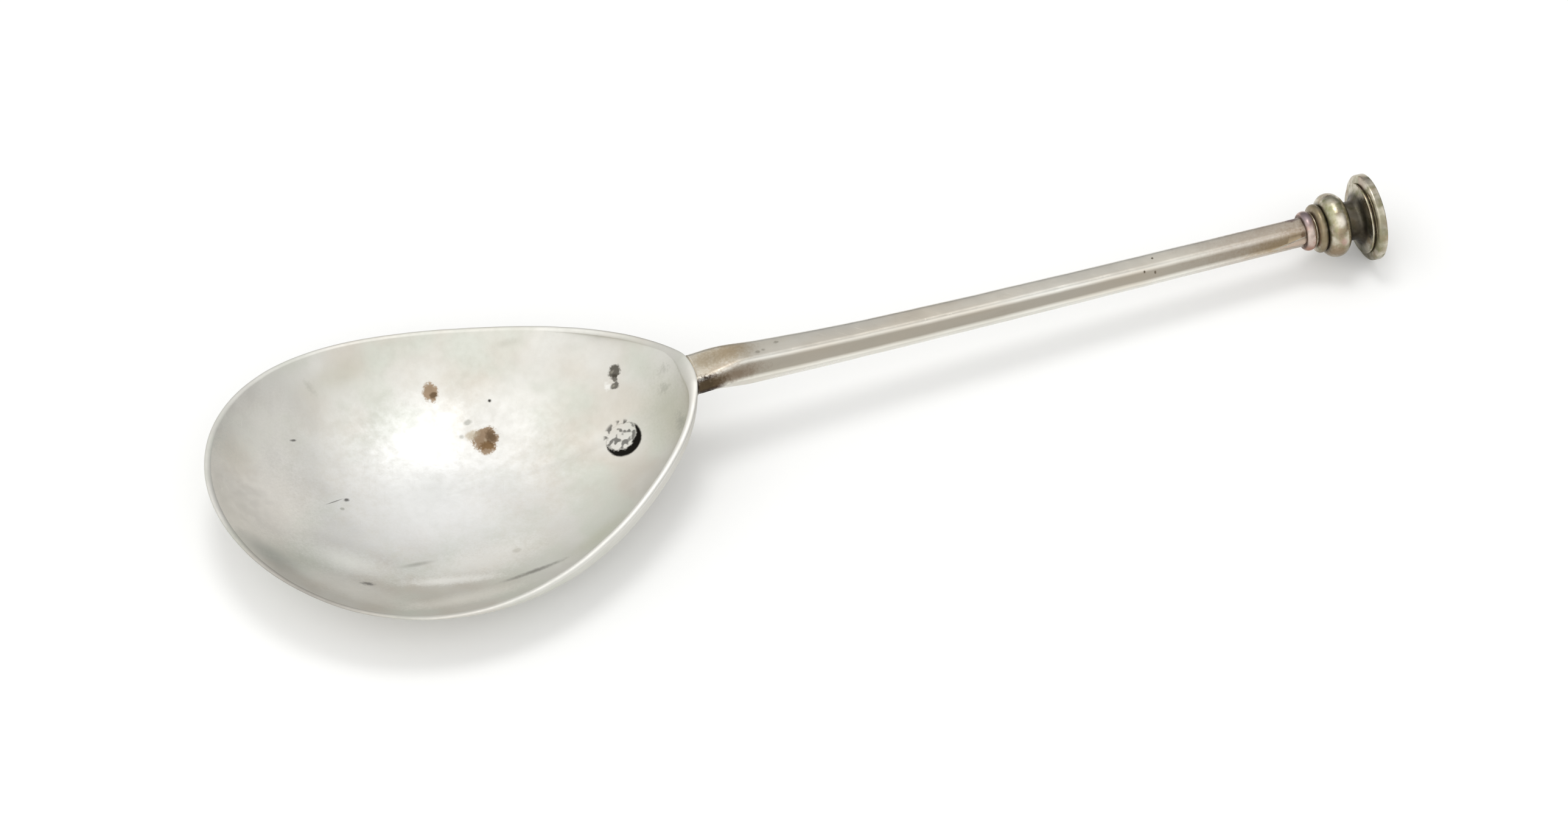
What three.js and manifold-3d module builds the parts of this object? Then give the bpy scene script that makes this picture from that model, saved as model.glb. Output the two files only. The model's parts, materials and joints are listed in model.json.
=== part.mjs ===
// A silver seal top spoon: a fig-shaped bowl, a tapering hexagonal stem and a turned finial with a flat seal.
// Millimetres. +X runs from the tip of the bowl to the face of the seal, +Z is up, and the spoon lies as it
// does on a table, on the worn spot at the back of its bowl and on the rim of its seal.

import * as THREE from 'three';
import * as BufferGeometryUtils from 'three/addons/utils/BufferGeometryUtils.js';
import Module from 'manifold-3d';

const wasm = await Module();
wasm.setup();

// Overall
const overallLength = 166.7;

// Bowl: its plan is an egg, widest near the tip, and old use has pushed it a little out of true
const bowlLength = 67.4;
const bowlWidth = 51.4;
const bowlTipFullness = 0.235;
const bowlHeelTaper = 0.016;
const bowlSideBow = 1.3;
const bowlBowShift = 1.3;
const bowlTipLean = 0.5;
const bowlDeepestShare = 0.46;
const bowlWallSteepness = 2.6;
const rimHeightAtHeel = 12.1;
const rimHeightAtTip = 10.6;
const rimDip = 3.3;
const heelRise = 1.3;
const heelRiseLength = 2.0;
const rimThickness = 1.0;
const bowlFloorThickness = 1.1;
const wornSpotShare = 0.13;

// Stem: a flattened hexagon that tapers to the finial, with a tongue under the heel of the bowl
const stemRootWidth = 5.2;
const stemEndWidth = 4.4;
const stemRootThickness = 4.5;
const stemEndThickness = 3.6;
const stemRootFlat = 2.7;
const stemEndFlat = 2.4;
const stemRootHeight = 10.3;
const flareWidth = 1.2;
const flareFlat = 1.2;
const flareThickness = 1.1;
const flareLift = 2.0;
const flareLength = 16;
const seatWidth = 6.6;
const seatFlat = 5.4;
const seatFoot = 2.8;
const seatFairingLength = 3;
const endFairingLength = 4;
const tongueLength = 9.6;
const tongueTipWidth = 1.2;
const tongueTipFlat = 0.7;
const tongueTipDrop = 0.5;
const tongueRootDrop = 1.4;

// Finial: it slopes down with the stem to the seal, and the foot of the seal's rim touches the table
const finialPitch = 3.8;
const collarDiameter = 5.5;
const collarLength = 1.45;
const grooveDiameter = 4.6;
const grooveLength = 0.2;
const beadDiameter = 6.8;
const beadLength = 1.3;
const creaseDiameter = 6.0;
const knopDiameter = 8.9;
const knopLength = 3.35;
const neckDiameter = 5.4;
const neckLength = 1.35;
const capitalDiameter = 9.8;
const capitalLength = 1.3;
const capitalEdge = 0.3;
const tenonDiameter = 1.8;
const tenonClearance = 0.1;

// Seal
const sealDiameter = 12.0;
const sealThickness = 1.35;
const sealEdgeRounding = 0.4;
const sealEdgeChamfer = 0.08;

// Joint between stem and finial: a wedge on the finial in a notch of the stem, seen from the side
const wedgeLength = 4.5;
const wedgeHeight = 1.6;

// Solder
const heelSolderThickness = 0.2;
const wedgeSolderThickness = 0.14;
const sealSolderThickness = 0.14;
const sealSolderInset = 0.25;
const solderClearance = 0.04;

// Fineness of the round surfaces
const bowlSteps = 72;
const bowlRings = 13;
const turnedSteps = 48;
const stemStations = 12;
const tongueStations = 6;

// Places along the length of the spoon, with the rim of the sloping seal as its far end
const pitch = THREE.MathUtils.degToRad(finialPitch);
const tipX = -overallLength / 2;
const heelX = tipX + bowlLength;
const bowlCentreX = tipX + bowlLength * bowlDeepestShare;
const sealFaceX = overallLength / 2 - (sealDiameter / 2 - sealEdgeChamfer) * Math.sin(pitch);
const sealFaceZ = (sealDiameter / 2) * Math.cos(pitch) - sealEdgeChamfer * Math.sin(pitch);
const aboveEverything = 2 * (stemRootHeight + stemRootThickness);

// Places along the finial, from the face of the seal back to the stem
const sealBack = -sealThickness;
const capitalEnd = sealBack - sealSolderThickness;
const neckEnd = capitalEnd - capitalLength;
const knopEnd = neckEnd - neckLength;
const knopStart = knopEnd - knopLength;
const beadStart = knopStart - beadLength;
const collarEnd = beadStart - grooveLength;
const collarStart = collarEnd - collarLength;

// From the finial, whose own +X runs out of the face of the seal, to the spoon, and back
const finialToSpoon = new THREE.Matrix4().makeRotationY(pitch).setPosition(sealFaceX, 0, sealFaceZ);
const spoonToFinial = finialToSpoon.clone().invert();
const stemEnd = new THREE.Vector3(collarStart, 0, 0).applyMatrix4(finialToSpoon);

// Colours
const silver = new THREE.MeshStandardMaterial({ color: 0xb9b7aa, roughness: 0.34, metalness: 1 });
const stemSilver = new THREE.MeshStandardMaterial({ color: 0xb3a898, roughness: 0.3, metalness: 1 });
const copperySilver = new THREE.MeshStandardMaterial({ color: 0xb09a8e, roughness: 0.3, metalness: 1 });
const wornGilt = new THREE.MeshStandardMaterial({ color: 0xa09a78, roughness: 0.3, metalness: 1 });
const solderGrey = new THREE.MeshStandardMaterial({ color: 0x5d564c, roughness: 0.6, metalness: 0.8 });

// Closed body through rings of points that follow one another along its length
function loft(rings) {
  const count = rings[0].length;
  const positions = rings.flat().flatMap((point) => [point.x, point.y, point.z]);
  const index = [];
  for (let r = 0; r < rings.length - 1; r += 1) {
    for (let i = 0; i < count; i += 1) {
      const a = r * count + i;
      const b = r * count + ((i + 1) % count);
      index.push(a, b, b + count, a, b + count, a + count);
    }
  }
  const addCap = (ring, start, flip) => {
    const middle = positions.length / 3;
    const centre = ring.reduce((sum, point) => sum.add(point), new THREE.Vector3()).divideScalar(count);
    positions.push(centre.x, centre.y, centre.z);
    for (let i = 0; i < count; i += 1) {
      const a = start + i;
      const b = start + ((i + 1) % count);
      index.push(...(flip ? [middle, b, a] : [middle, a, b]));
    }
  };
  addCap(rings[0], 0, true);
  addCap(rings[rings.length - 1], (rings.length - 1) * count, false);
  const geometry = new THREE.BufferGeometry();
  geometry.setAttribute('position', new THREE.Float32BufferAttribute(positions, 3));
  geometry.setIndex(index);
  return geometry;
}

// Body turned about the line of the finial, from a profile of [x, radius] pairs
function turned(profile) {
  const points = profile.map(([x, radius]) => new THREE.Vector2(radius, x));
  return new THREE.LatheGeometry(points, turnedSteps).rotateZ(-Math.PI / 2);
}

function toSolid(geometry) {
  const bare = geometry.clone();
  bare.deleteAttribute('normal');
  bare.deleteAttribute('uv');
  const merged = BufferGeometryUtils.mergeVertices(bare, 1e-5);
  return new wasm.Manifold(new wasm.Mesh({
    numProp: 3,
    vertProperties: new Float32Array(merged.attributes.position.array),
    triVerts: new Uint32Array(merged.index.array),
  }));
}

function toGeometry(solid) {
  const mesh = solid.getMesh();
  const geometry = new THREE.BufferGeometry();
  geometry.setAttribute('position', new THREE.BufferAttribute(new Float32Array(mesh.vertProperties), 3));
  geometry.setIndex(new THREE.BufferAttribute(new Uint32Array(mesh.triVerts), 1));
  return geometry;
}

// Outline of the bowl in plan: turn runs from 0 at the tip to pi at the heel and on round the near side
function eggWidth(turn) {
  const fullness = 1 + bowlTipFullness * Math.cos(turn) - bowlHeelTaper * Math.cos(2 * turn);
  return Math.sin(turn) * fullness;
}

const eggSamples = Array.from({ length: 361 }, (_, i) => eggWidth((Math.PI * i) / 360));
const widestEgg = Math.max(...eggSamples);

function outline(turn) {
  const share = (1 - Math.cos(turn)) / 2;
  const bow = bowlSideBow * Math.sin(Math.PI * share ** bowlBowShift) ** 2;
  const sway = bowlTipLean * (1 - share) ** 2 - bow;
  return new THREE.Vector2(tipX + bowlLength * share, (eggWidth(turn) / widestEgg) * (bowlWidth / 2) + sway);
}

function outlineNormal(turn) {
  const step = 1e-4;
  const along = outline(turn + step).sub(outline(turn - step)).normalize();
  return new THREE.Vector2(-along.y, along.x);
}

function rimHeight(turn) {
  const fromHeel = (1 + Math.cos(turn)) / 2;
  const level = rimHeightAtHeel + (rimHeightAtTip - rimHeightAtHeel) * fromHeel;
  const rise = heelRise * Math.exp((-fromHeel * bowlLength) / heelRiseLength);
  return level + rise - 4 * rimDip * fromHeel * (1 - fromHeel);
}

// Height of the bowl's back as a share of the rim's height, at a share of the way out from its deepest point
function backProfile(share) {
  return 1 - Math.max(0, 1 - share * share) ** (1 / bowlWallSteepness);
}

function pointOnBack(share, turn) {
  const edge = outline(turn);
  const flat = backProfile(wornSpotShare);
  const rise = Math.max(0, backProfile(share) - flat) / (1 - flat);
  const x = bowlCentreX + (edge.x - bowlCentreX) * share;
  return new THREE.Vector3(x, edge.y * share, rimHeight(turn) * rise);
}

function pointInside(share, turn) {
  const edge = outline(turn).addScaledVector(outlineNormal(turn), -rimThickness);
  const x = bowlCentreX + (edge.x - bowlCentreX) * share;
  const depth = rimHeight(turn) - bowlFloorThickness;
  return new THREE.Vector3(x, edge.y * share, bowlFloorThickness + depth * backProfile(share));
}

// Outward direction of the bowl's back, level at the rim
function backNormal(share, turn) {
  const step = 1e-3;
  const inner = Math.max(wornSpotShare, share - step);
  const outward = pointOnBack(share, turn).sub(pointOnBack(inner, turn));
  if (outward.lengthSq() === 0) return new THREE.Vector3(0, 0, -1);
  const round = pointOnBack(share, turn + step).sub(pointOnBack(share, turn - step));
  return outward.cross(round).normalize();
}

const turnAt = (i) => Math.PI - (2 * Math.PI * i) / bowlSteps;
const ringOf = (place) => Array.from({ length: bowlSteps }, (_, i) => place(turnAt(i)));
const spotAngle = Math.asin(wornSpotShare);
const outwardShares = Array.from({ length: bowlRings + 1 }, (_, i) => {
  const angle = spotAngle + (Math.PI / 2 - spotAngle) * (i / bowlRings);
  return Math.sin(angle);
});

function makeBowl() {
  const back = outwardShares.map((share) => ringOf((turn) => pointOnBack(share, turn)));
  const inside = outwardShares.map((share) => ringOf((turn) => pointInside(share, turn)));
  return loft([...back, ...inside.reverse()]);
}

// The space of the bowl and all above it, with its back moved outward by a margin, as the finial sees it
function bowlSpace(margin) {
  const moved = (share) => (turn) => {
    return pointOnBack(share, turn).addScaledVector(backNormal(share, turn), margin);
  };
  const back = outwardShares.map((share) => ringOf(moved(share)));
  const above = back[back.length - 1].map((point) => new THREE.Vector3(point.x, point.y, aboveEverything));
  return toSolid(loft([...back, above]).applyMatrix4(spoonToFinial));
}

// Section of the stem, a hexagon that lies on its foot
function hexagon({ x, top, bottom, width, flat, foot }) {
  const corners = [
    [width / 2, (top + bottom) / 2],
    [flat / 2, top],
    [-flat / 2, top],
    [-width / 2, (top + bottom) / 2],
    [-foot / 2, bottom],
    [foot / 2, bottom],
  ];
  return corners.map(([y, z]) => new THREE.Vector3(x, y, z));
}

function stemSection(x) {
  const share = (x - heelX) / (stemEnd.x - heelX);
  const flare = Math.exp(-(x - heelX) / flareLength);
  const middle = THREE.MathUtils.lerp(stemRootHeight, stemEnd.z, share) + flareLift * flare;
  const thickness = THREE.MathUtils.lerp(stemRootThickness, stemEndThickness, share) + flareThickness * flare;
  const flat = THREE.MathUtils.lerp(stemRootFlat, stemEndFlat, share) + flareFlat * flare;
  return {
    x,
    top: middle + thickness / 2,
    bottom: middle - thickness / 2,
    width: THREE.MathUtils.lerp(stemRootWidth, stemEndWidth, share) + flareWidth * flare,
    flat,
    foot: flat,
  };
}

// The whole bar of the stem as the finial sees it: tongue, seat under the heel, taper and square-cut end
function makeStemBar() {
  const top = rimHeight(Math.PI);
  const seat = { ...stemSection(heelX), top, width: seatWidth, flat: seatFlat, foot: seatFoot };
  const tongueAt = (share) => {
    const x = heelX - tongueLength * share;
    const outward = (x - bowlCentreX) / (heelX - bowlCentreX);
    const bottom = pointOnBack(outward, Math.PI).z - THREE.MathUtils.lerp(tongueRootDrop, tongueTipDrop, share);
    const width = THREE.MathUtils.lerp(seatWidth, tongueTipWidth, share);
    const flat = THREE.MathUtils.lerp(seatFlat, tongueTipFlat, share);
    const foot = THREE.MathUtils.lerp(seatFoot, tongueTipFlat, share);
    return { x, top, bottom, width, flat, foot };
  };
  const tongue = Array.from({ length: tongueStations }, (_, i) => tongueAt((1 - i / tongueStations) ** 1.5));
  const taper = Array.from({ length: stemStations + 1 }, (_, i) => {
    const share = (i / stemStations) ** 1.5;
    const from = heelX + seatFairingLength;
    return stemSection(THREE.MathUtils.lerp(from, stemEnd.x - endFairingLength, share));
  });
  const rings = [...tongue, seat, ...taper].map((section) => {
    return hexagon(section).map((point) => point.applyMatrix4(spoonToFinial));
  });
  const end = hexagon({
    x: collarStart,
    top: stemEndThickness / 2,
    bottom: -stemEndThickness / 2,
    width: stemEndWidth,
    flat: stemEndFlat,
    foot: stemEndFlat,
  });
  return toSolid(loft([...rings, end]));
}

// Wedge-shaped space on the line of the finial, with its faces moved outward by a margin
function wedgeSpace(margin) {
  const slope = wedgeHeight / 2 / wedgeLength;
  const shift = margin * Math.hypot(1, slope);
  const shape = new THREE.Shape();
  shape.moveTo(collarStart - wedgeLength - shift / slope, 0);
  shape.lineTo(collarStart, -wedgeHeight / 2 - shift);
  shape.lineTo(collarStart, wedgeHeight / 2 + shift);
  shape.closePath();
  const depth = 2 * stemRootWidth;
  const geometry = new THREE.ExtrudeGeometry(shape, { depth, bevelEnabled: false });
  return toSolid(geometry.rotateX(Math.PI / 2).translate(0, depth / 2, 0));
}

// Half-round moulding from one place on the finial to another, as [x, radius] pairs
function moulding(startX, endX, startDiameter, endDiameter, diameter, steps) {
  return Array.from({ length: steps + 1 }, (_, i) => {
    const angle = (Math.PI * i) / steps;
    const edge = THREE.MathUtils.lerp(startDiameter, endDiameter, i / steps) / 2;
    const x = THREE.MathUtils.lerp(startX, endX, (1 - Math.cos(angle)) / 2);
    return [x, edge + (diameter / 2 - edge) * Math.sin(angle)];
  });
}

function makeCapitalProfile() {
  const steps = 6;
  const hollowLength = capitalLength - capitalEdge;
  const flare = (capitalDiameter - neckDiameter) / 2;
  const hollow = Array.from({ length: steps + 1 }, (_, i) => {
    const angle = (Math.PI / 2) * (i / steps);
    return [neckEnd + hollowLength * Math.sin(angle), neckDiameter / 2 + flare * (1 - Math.cos(angle))];
  });
  return [...hollow, [capitalEnd, capitalDiameter / 2]];
}

function makeBaluster(bar) {
  const tenonRadius = tenonDiameter / 2;
  const body = turned([
    [collarStart, 0],
    [collarStart, tenonRadius],
    [collarEnd, tenonRadius],
    [collarEnd, grooveDiameter / 2],
    ...moulding(beadStart, knopStart, grooveDiameter, creaseDiameter, beadDiameter, 7),
    ...moulding(knopStart, knopEnd, creaseDiameter, neckDiameter, knopDiameter, 12).slice(1),
    ...makeCapitalProfile(),
    [capitalEnd, 0],
  ]);
  return toGeometry(toSolid(body).add(bar.intersect(wedgeSpace(0))));
}

function makeCollar() {
  const bore = tenonDiameter / 2 + tenonClearance;
  return turned([
    [collarStart, bore],
    ...moulding(collarStart, collarEnd, grooveDiameter, grooveDiameter, collarDiameter, 8),
    [collarEnd, bore],
    [collarStart, bore],
  ]);
}

function makeSealPlate() {
  const radius = sealDiameter / 2;
  const seat = capitalDiameter / 2;
  const steps = 4;
  const shoulder = Array.from({ length: steps + 1 }, (_, i) => {
    const angle = (Math.PI / 2) * (i / steps);
    const x = sealBack + sealEdgeRounding * (1 - Math.cos(angle));
    return [x, seat + (radius - seat) * Math.sin(angle)];
  });
  return turned([
    [sealBack, 0],
    ...shoulder,
    [-sealEdgeChamfer, radius],
    [0, radius - sealEdgeChamfer],
    [0, 0],
  ]);
}

function makeSealSolder() {
  const radius = capitalDiameter / 2 - sealSolderInset;
  return turned([
    [capitalEnd, 0],
    [capitalEnd, radius],
    [sealBack, radius],
    [sealBack, 0],
  ]);
}

const bar = makeStemBar();
const heelGap = heelSolderThickness + 2 * solderClearance;
const wedgeGap = wedgeSolderThickness + 2 * solderClearance;
const stem = bar.subtract(bowlSpace(heelGap)).subtract(wedgeSpace(wedgeGap));
const heelFilm = bowlSpace(heelGap - solderClearance).subtract(bowlSpace(solderClearance));
const wedgeFilm = wedgeSpace(wedgeGap - solderClearance).subtract(wedgeSpace(solderClearance));

const spoon = new THREE.Group();
spoon.name = 'seal_top_spoon';

function addPiece(name, geometry, material) {
  const piece = new THREE.Mesh(geometry, material);
  piece.name = name;
  spoon.add(piece);
}

const placed = (geometry) => geometry.applyMatrix4(finialToSpoon);

addPiece('bowl', makeBowl(), silver);
addPiece('heel_solder', placed(toGeometry(bar.intersect(heelFilm))), solderGrey);
addPiece('stem', placed(toGeometry(stem)), stemSilver);
addPiece('stem_solder', placed(toGeometry(bar.intersect(wedgeFilm))), solderGrey);
addPiece('collar', placed(makeCollar()), copperySilver);
addPiece('baluster', placed(makeBaluster(bar)), wornGilt);
addPiece('seal_solder', placed(makeSealSolder()), solderGrey);
addPiece('seal_plate', placed(makeSealPlate()), wornGilt);

export default spoon;
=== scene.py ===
"""Dresses a seal top spoon in worn, tarnished silver and worn gilding, with painted light and
shade, on a white table.

Sizes are in millimetres, as a maker would write them, and become metres where a mesh is built.
Turns round the bowl are in radians: 0 at the tip, on along the far side to pi at the heel, and back
along the near side.
"""

import json
import logging
import math
from collections.abc import Callable
from dataclasses import dataclass, field
from enum import Enum

import bpy
import numpy as np
from mathutils import Matrix, Vector

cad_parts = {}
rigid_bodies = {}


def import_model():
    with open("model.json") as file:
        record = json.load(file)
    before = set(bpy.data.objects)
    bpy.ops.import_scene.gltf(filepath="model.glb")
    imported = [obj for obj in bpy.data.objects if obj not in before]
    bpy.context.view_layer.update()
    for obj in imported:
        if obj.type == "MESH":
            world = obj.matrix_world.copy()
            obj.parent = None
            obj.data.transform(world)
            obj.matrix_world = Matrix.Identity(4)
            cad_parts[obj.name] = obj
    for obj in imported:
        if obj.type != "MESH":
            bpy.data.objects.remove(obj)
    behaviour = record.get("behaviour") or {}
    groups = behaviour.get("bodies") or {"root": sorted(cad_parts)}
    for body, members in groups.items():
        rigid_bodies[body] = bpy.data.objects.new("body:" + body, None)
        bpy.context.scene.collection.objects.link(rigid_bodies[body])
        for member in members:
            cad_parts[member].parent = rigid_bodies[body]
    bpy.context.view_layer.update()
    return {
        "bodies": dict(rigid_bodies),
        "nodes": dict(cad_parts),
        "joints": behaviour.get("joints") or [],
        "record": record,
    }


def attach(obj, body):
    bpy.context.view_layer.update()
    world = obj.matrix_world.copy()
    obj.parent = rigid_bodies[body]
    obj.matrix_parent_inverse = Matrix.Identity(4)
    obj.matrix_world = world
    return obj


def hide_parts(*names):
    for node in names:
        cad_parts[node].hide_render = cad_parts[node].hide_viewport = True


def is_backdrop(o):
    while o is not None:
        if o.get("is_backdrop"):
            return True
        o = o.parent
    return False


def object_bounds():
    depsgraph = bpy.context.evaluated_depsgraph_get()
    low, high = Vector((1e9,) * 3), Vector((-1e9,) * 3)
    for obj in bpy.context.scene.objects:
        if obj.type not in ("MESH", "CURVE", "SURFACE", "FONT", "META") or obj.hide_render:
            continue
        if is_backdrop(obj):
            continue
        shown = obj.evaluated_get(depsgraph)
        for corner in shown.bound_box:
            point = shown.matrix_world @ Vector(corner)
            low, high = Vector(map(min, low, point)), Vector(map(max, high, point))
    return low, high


log = logging.getLogger("spoon")

METRES = 0.001
IMAGE_WIDTH = 2576
SENSOR_WIDTH = 36.0
FULL_TURN = 2.0 * math.pi
CUBIC_RISE = 0.75
RAGGED_REACH = 1.6
TINY = 1e-9

Array = np.ndarray
Value = np.ndarray | float
Pair = tuple[float, float]
Triple = tuple[float, float, float]
Colour = tuple[float, float, float]
Piece = bpy.types.Object
Finish = bpy.types.Material
Socket = bpy.types.NodeSocket
Inputs = dict[str | int, object]
Blows = tuple[tuple[float, float, int], ...]


class Ends(Enum):
    """How a run of rings is closed."""

    POLES = "poles"
    LOOP = "loop"


class Cut(Enum):
    """What is done with a cutting body."""

    AWAY = "DIFFERENCE"
    KEEP = "INTERSECT"


# Shapes worked out as arrays


def lerp(start: Value, end: Value, share: Value) -> Value:
    """The value at a share of the way from start to end."""
    return start + (end - start) * share


def smooth(share: Array) -> Array:
    """Eases a share from 0 to 1 with level ends: three s squared less two s cubed."""
    held = np.clip(share, 0.0, 1.0)
    return held * held * (3.0 - 2.0 * held)


def unit(vectors: Array) -> Array:
    """Directions with a length of one: each vector over its own length."""
    return vectors / np.maximum(np.linalg.norm(vectors, axis=-1, keepdims=True), TINY)


def bell(turn: Array, middle: float, width: float) -> Array:
    """Bell curve round a circle: e to less the square of the angle from the middle over width."""
    apart = (turn - middle + np.pi) % FULL_TURN - np.pi
    return np.exp(-((apart / width) ** 2))


def bezier(corners: list[Array], t: Array) -> Array:
    """Curve from the first corner to the last, drawn towards those between them.

    Of n + 1 corners, the weight of corner k is n over k, times 1 - t to the power n - k, times t to
    the power k.

    Args:
        corners: The corners, each with coordinates in its last axis.
        t: Shares of the way along, in a shape that goes with the corners.

    Returns:
        The points of the curve.
    """
    n = len(corners) - 1
    weights = [math.comb(n, k) * (1.0 - t) ** (n - k) * t**k for k in range(n + 1)]
    return sum(weight * corner for weight, corner in zip(weights, corners))


def waver(points: Array, length: float, seed: int) -> Array:
    """Slow unevenness of hand work: the mean of eight sine waves that run in seeded directions.

    Args:
        points: Places in millimetres, with x, y, z in the last axis.
        length: Typical distance from crest to crest, in millimetres.
        seed: Which set of waves is used.

    Returns:
        A value of about -1 to 1 for each place.
    """
    waves, gain = 8, 1.6
    maker = np.random.default_rng(seed)
    ways = unit(maker.normal(size=(waves, 3)))
    rates = FULL_TURN / (length * maker.uniform(0.7, 1.6, waves))
    starts = maker.uniform(0.0, FULL_TURN, waves)
    return np.sin(points @ (ways * rates[:, None]).T + starts).mean(axis=-1) * gain


def hammered(points: Array, blows: Blows) -> Array:
    """Dents of a hammer: the sum of wavers, each given by its height, length and seed."""
    return sum(height * waver(points, length, seed) for height, length, seed in blows)


def soften(profile: Array, spacing: float, reach: float) -> Array:
    """Rounds the corners of a profile: even resampling, then a moving mean that leaves the ends.

    Args:
        profile: Corners as (n, 2).
        spacing: Distance between the new points.
        reach: Length over which the mean runs.

    Returns:
        The softened profile as (m, 2).
    """
    steps = np.linalg.norm(np.diff(profile, axis=0), axis=1)
    along = np.concatenate([[0.0], np.cumsum(steps)])
    places = np.linspace(0.0, along[-1], int(along[-1] / spacing))
    even = np.stack([np.interp(places, along, profile[:, k]) for k in range(2)], axis=1)
    half = int(reach / spacing / 2)
    window = np.ones(2 * half + 1) / (2 * half + 1)
    before = 2 * even[0] - even[half:0:-1]
    after = 2 * even[-1] - even[-2 : -half - 2 : -1]
    padded = np.concatenate([before, even, after])
    return np.stack([np.convolve(padded[:, k], window, mode="valid") for k in range(2)], axis=1)


def hollows(profile: Array, reach: int, depth: float) -> Array:
    """How deep each point of a turned profile lies: the mean radius nearby less its own.

    Args:
        profile: Pairs of place and radius.
        reach: Points on either side that count as nearby.
        depth: Depth that counts as one, in millimetres.

    Returns:
        A value from 0 to 1 for each point.
    """
    window = np.ones(2 * reach + 1) / (2 * reach + 1)
    nearby = np.convolve(np.pad(profile[:, 1], reach, mode="edge"), window, "valid")
    return np.clip((nearby - profile[:, 1]) / depth, 0.0, 1.0)


def moulding(
    start: float, end: float, start_size: float, end_size: float, size: float, steps: int
) -> Array:
    """Half-round moulding: place along follows a cosine, radius a sine from edge to crown.

    Args:
        start: Place where it begins along the finial.
        end: Place where it ends.
        start_size: Diameter where it begins.
        end_size: Diameter where it ends.
        size: Diameter at its crown.
        steps: Points along it.

    Returns:
        Pairs of place and radius as (steps, 2).
    """
    angle = np.linspace(0.0, np.pi, steps)
    edge = lerp(start_size, end_size, angle / np.pi) / 2.0
    place = lerp(start, end, (1.0 - np.cos(angle)) / 2.0)
    return np.stack([place, edge + (size / 2.0 - edge) * np.sin(angle)], axis=1)


# Meshes


def put(name: str, data: bpy.types.ID) -> Piece:
    """Puts a new object with its mesh, lamp or camera into the scene.

    Args:
        name: Name of the object.
        data: Its mesh, lamp or camera.

    Returns:
        The new object.
    """
    made = bpy.data.objects.new(name, data)
    bpy.context.scene.collection.objects.link(made)
    return made


def closed_mesh(name: str, rings: Array, ends: Ends, values: dict[str, Array]) -> Piece:
    """Closed mesh through rings of points, whose faces point outwards.

    Args:
        name: Name of the piece.
        rings: Points in millimetres as (rings, around, 3).
        ends: Whether the rings end in a fan of triangles at each end, or run on into the first.
        values: Numbers from 0 to 1 that the material reads, each as (rings, around), by name.

    Returns:
        The new object, with its place in its mesh.
    """
    count, around, _ = rings.shape
    points = rings.reshape(-1, 3)
    wrap = ends is Ends.LOOP
    ring, step = np.indices((count if wrap else count - 1, around))
    here, after = ring * around, (ring + 1) % count * around
    beside = (step + 1) % around
    corners = [here + step, here + beside, after + beside, after + step]
    quads = np.stack(corners, axis=-1).reshape(-1, 4)
    fans = np.zeros((0, 3), dtype=int)
    if not wrap:
        first = np.arange(around)
        second = (first + 1) % around
        low = np.full(around, len(points))
        last = (count - 1) * around
        head = np.stack([low, second, first], axis=1)
        foot = np.stack([low + 1, last + first, last + second], axis=1)
        fans = np.concatenate([head, foot])
        points = np.concatenate([points, rings[[0, -1]].mean(axis=1)])
    a, b, c, d = (points[quads[:, k]] for k in range(4))
    volume = np.einsum("ij,ij->", a, np.cross(b, c)) + np.einsum("ij,ij->", a, np.cross(c, d))
    if volume < 0:
        quads, fans = quads[:, ::-1], fans[:, ::-1]
    mesh = bpy.data.meshes.new(name)
    mesh.from_pydata((points * METRES).tolist(), [], quads.tolist() + fans.tolist())
    for key, numbers in values.items():
        layer = mesh.attributes.new(key, "FLOAT", "POINT")
        flat = numbers.reshape(-1)
        if not wrap:
            flat = np.concatenate([flat, [numbers[0].mean(), numbers[-1].mean()]])
        layer.data.foreach_set("value", flat.astype(np.float32))
    mesh.update()
    return put(name, mesh)


def dress(piece: Piece, finish: Finish, crease: float) -> Piece:
    """Gives a piece its finish and shades it smooth.

    Args:
        piece: The piece.
        finish: Its metal.
        crease: Degrees past which an edge stays sharp.

    Returns:
        The same piece.
    """
    mesh = piece.data
    mesh.materials.clear()
    mesh.materials.append(finish)
    mesh.polygons.foreach_set("use_smooth", np.ones(len(mesh.polygons), dtype=bool))
    mesh.set_sharp_from_angle(angle=math.radians(crease))
    return piece


def cut(piece: Piece, tool: Piece, how: Cut) -> None:
    """Cuts a piece with a tool body, puts the result into the piece and removes the tool.

    Args:
        piece: The piece.
        tool: The closed body it is cut with.
        how: Whether the tool's inside is taken away or kept.
    """
    change = piece.modifiers.new("cut", "BOOLEAN")
    change.operation = how.value
    change.solver = "EXACT"
    change.object = tool
    graph = bpy.context.evaluated_depsgraph_get()
    result = bpy.data.meshes.new_from_object(piece.evaluated_get(graph), depsgraph=graph)
    piece.modifiers.clear()
    old = piece.data
    piece.data = result
    bpy.data.meshes.remove(old)
    bpy.data.objects.remove(tool)


def join(name: str, first: Piece, second: Piece) -> Piece:
    """Joins two bodies of one piece.

    Args:
        name: Name of the piece.
        first: The body that stays.
        second: The body that is added to it.

    Returns:
        The first object, renamed.
    """
    both = [first, second]
    with bpy.context.temp_override(active_object=first, selected_editable_objects=both):
        bpy.ops.object.join()
    first.name = name
    first.data.name = name
    return first


# Metals


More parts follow.
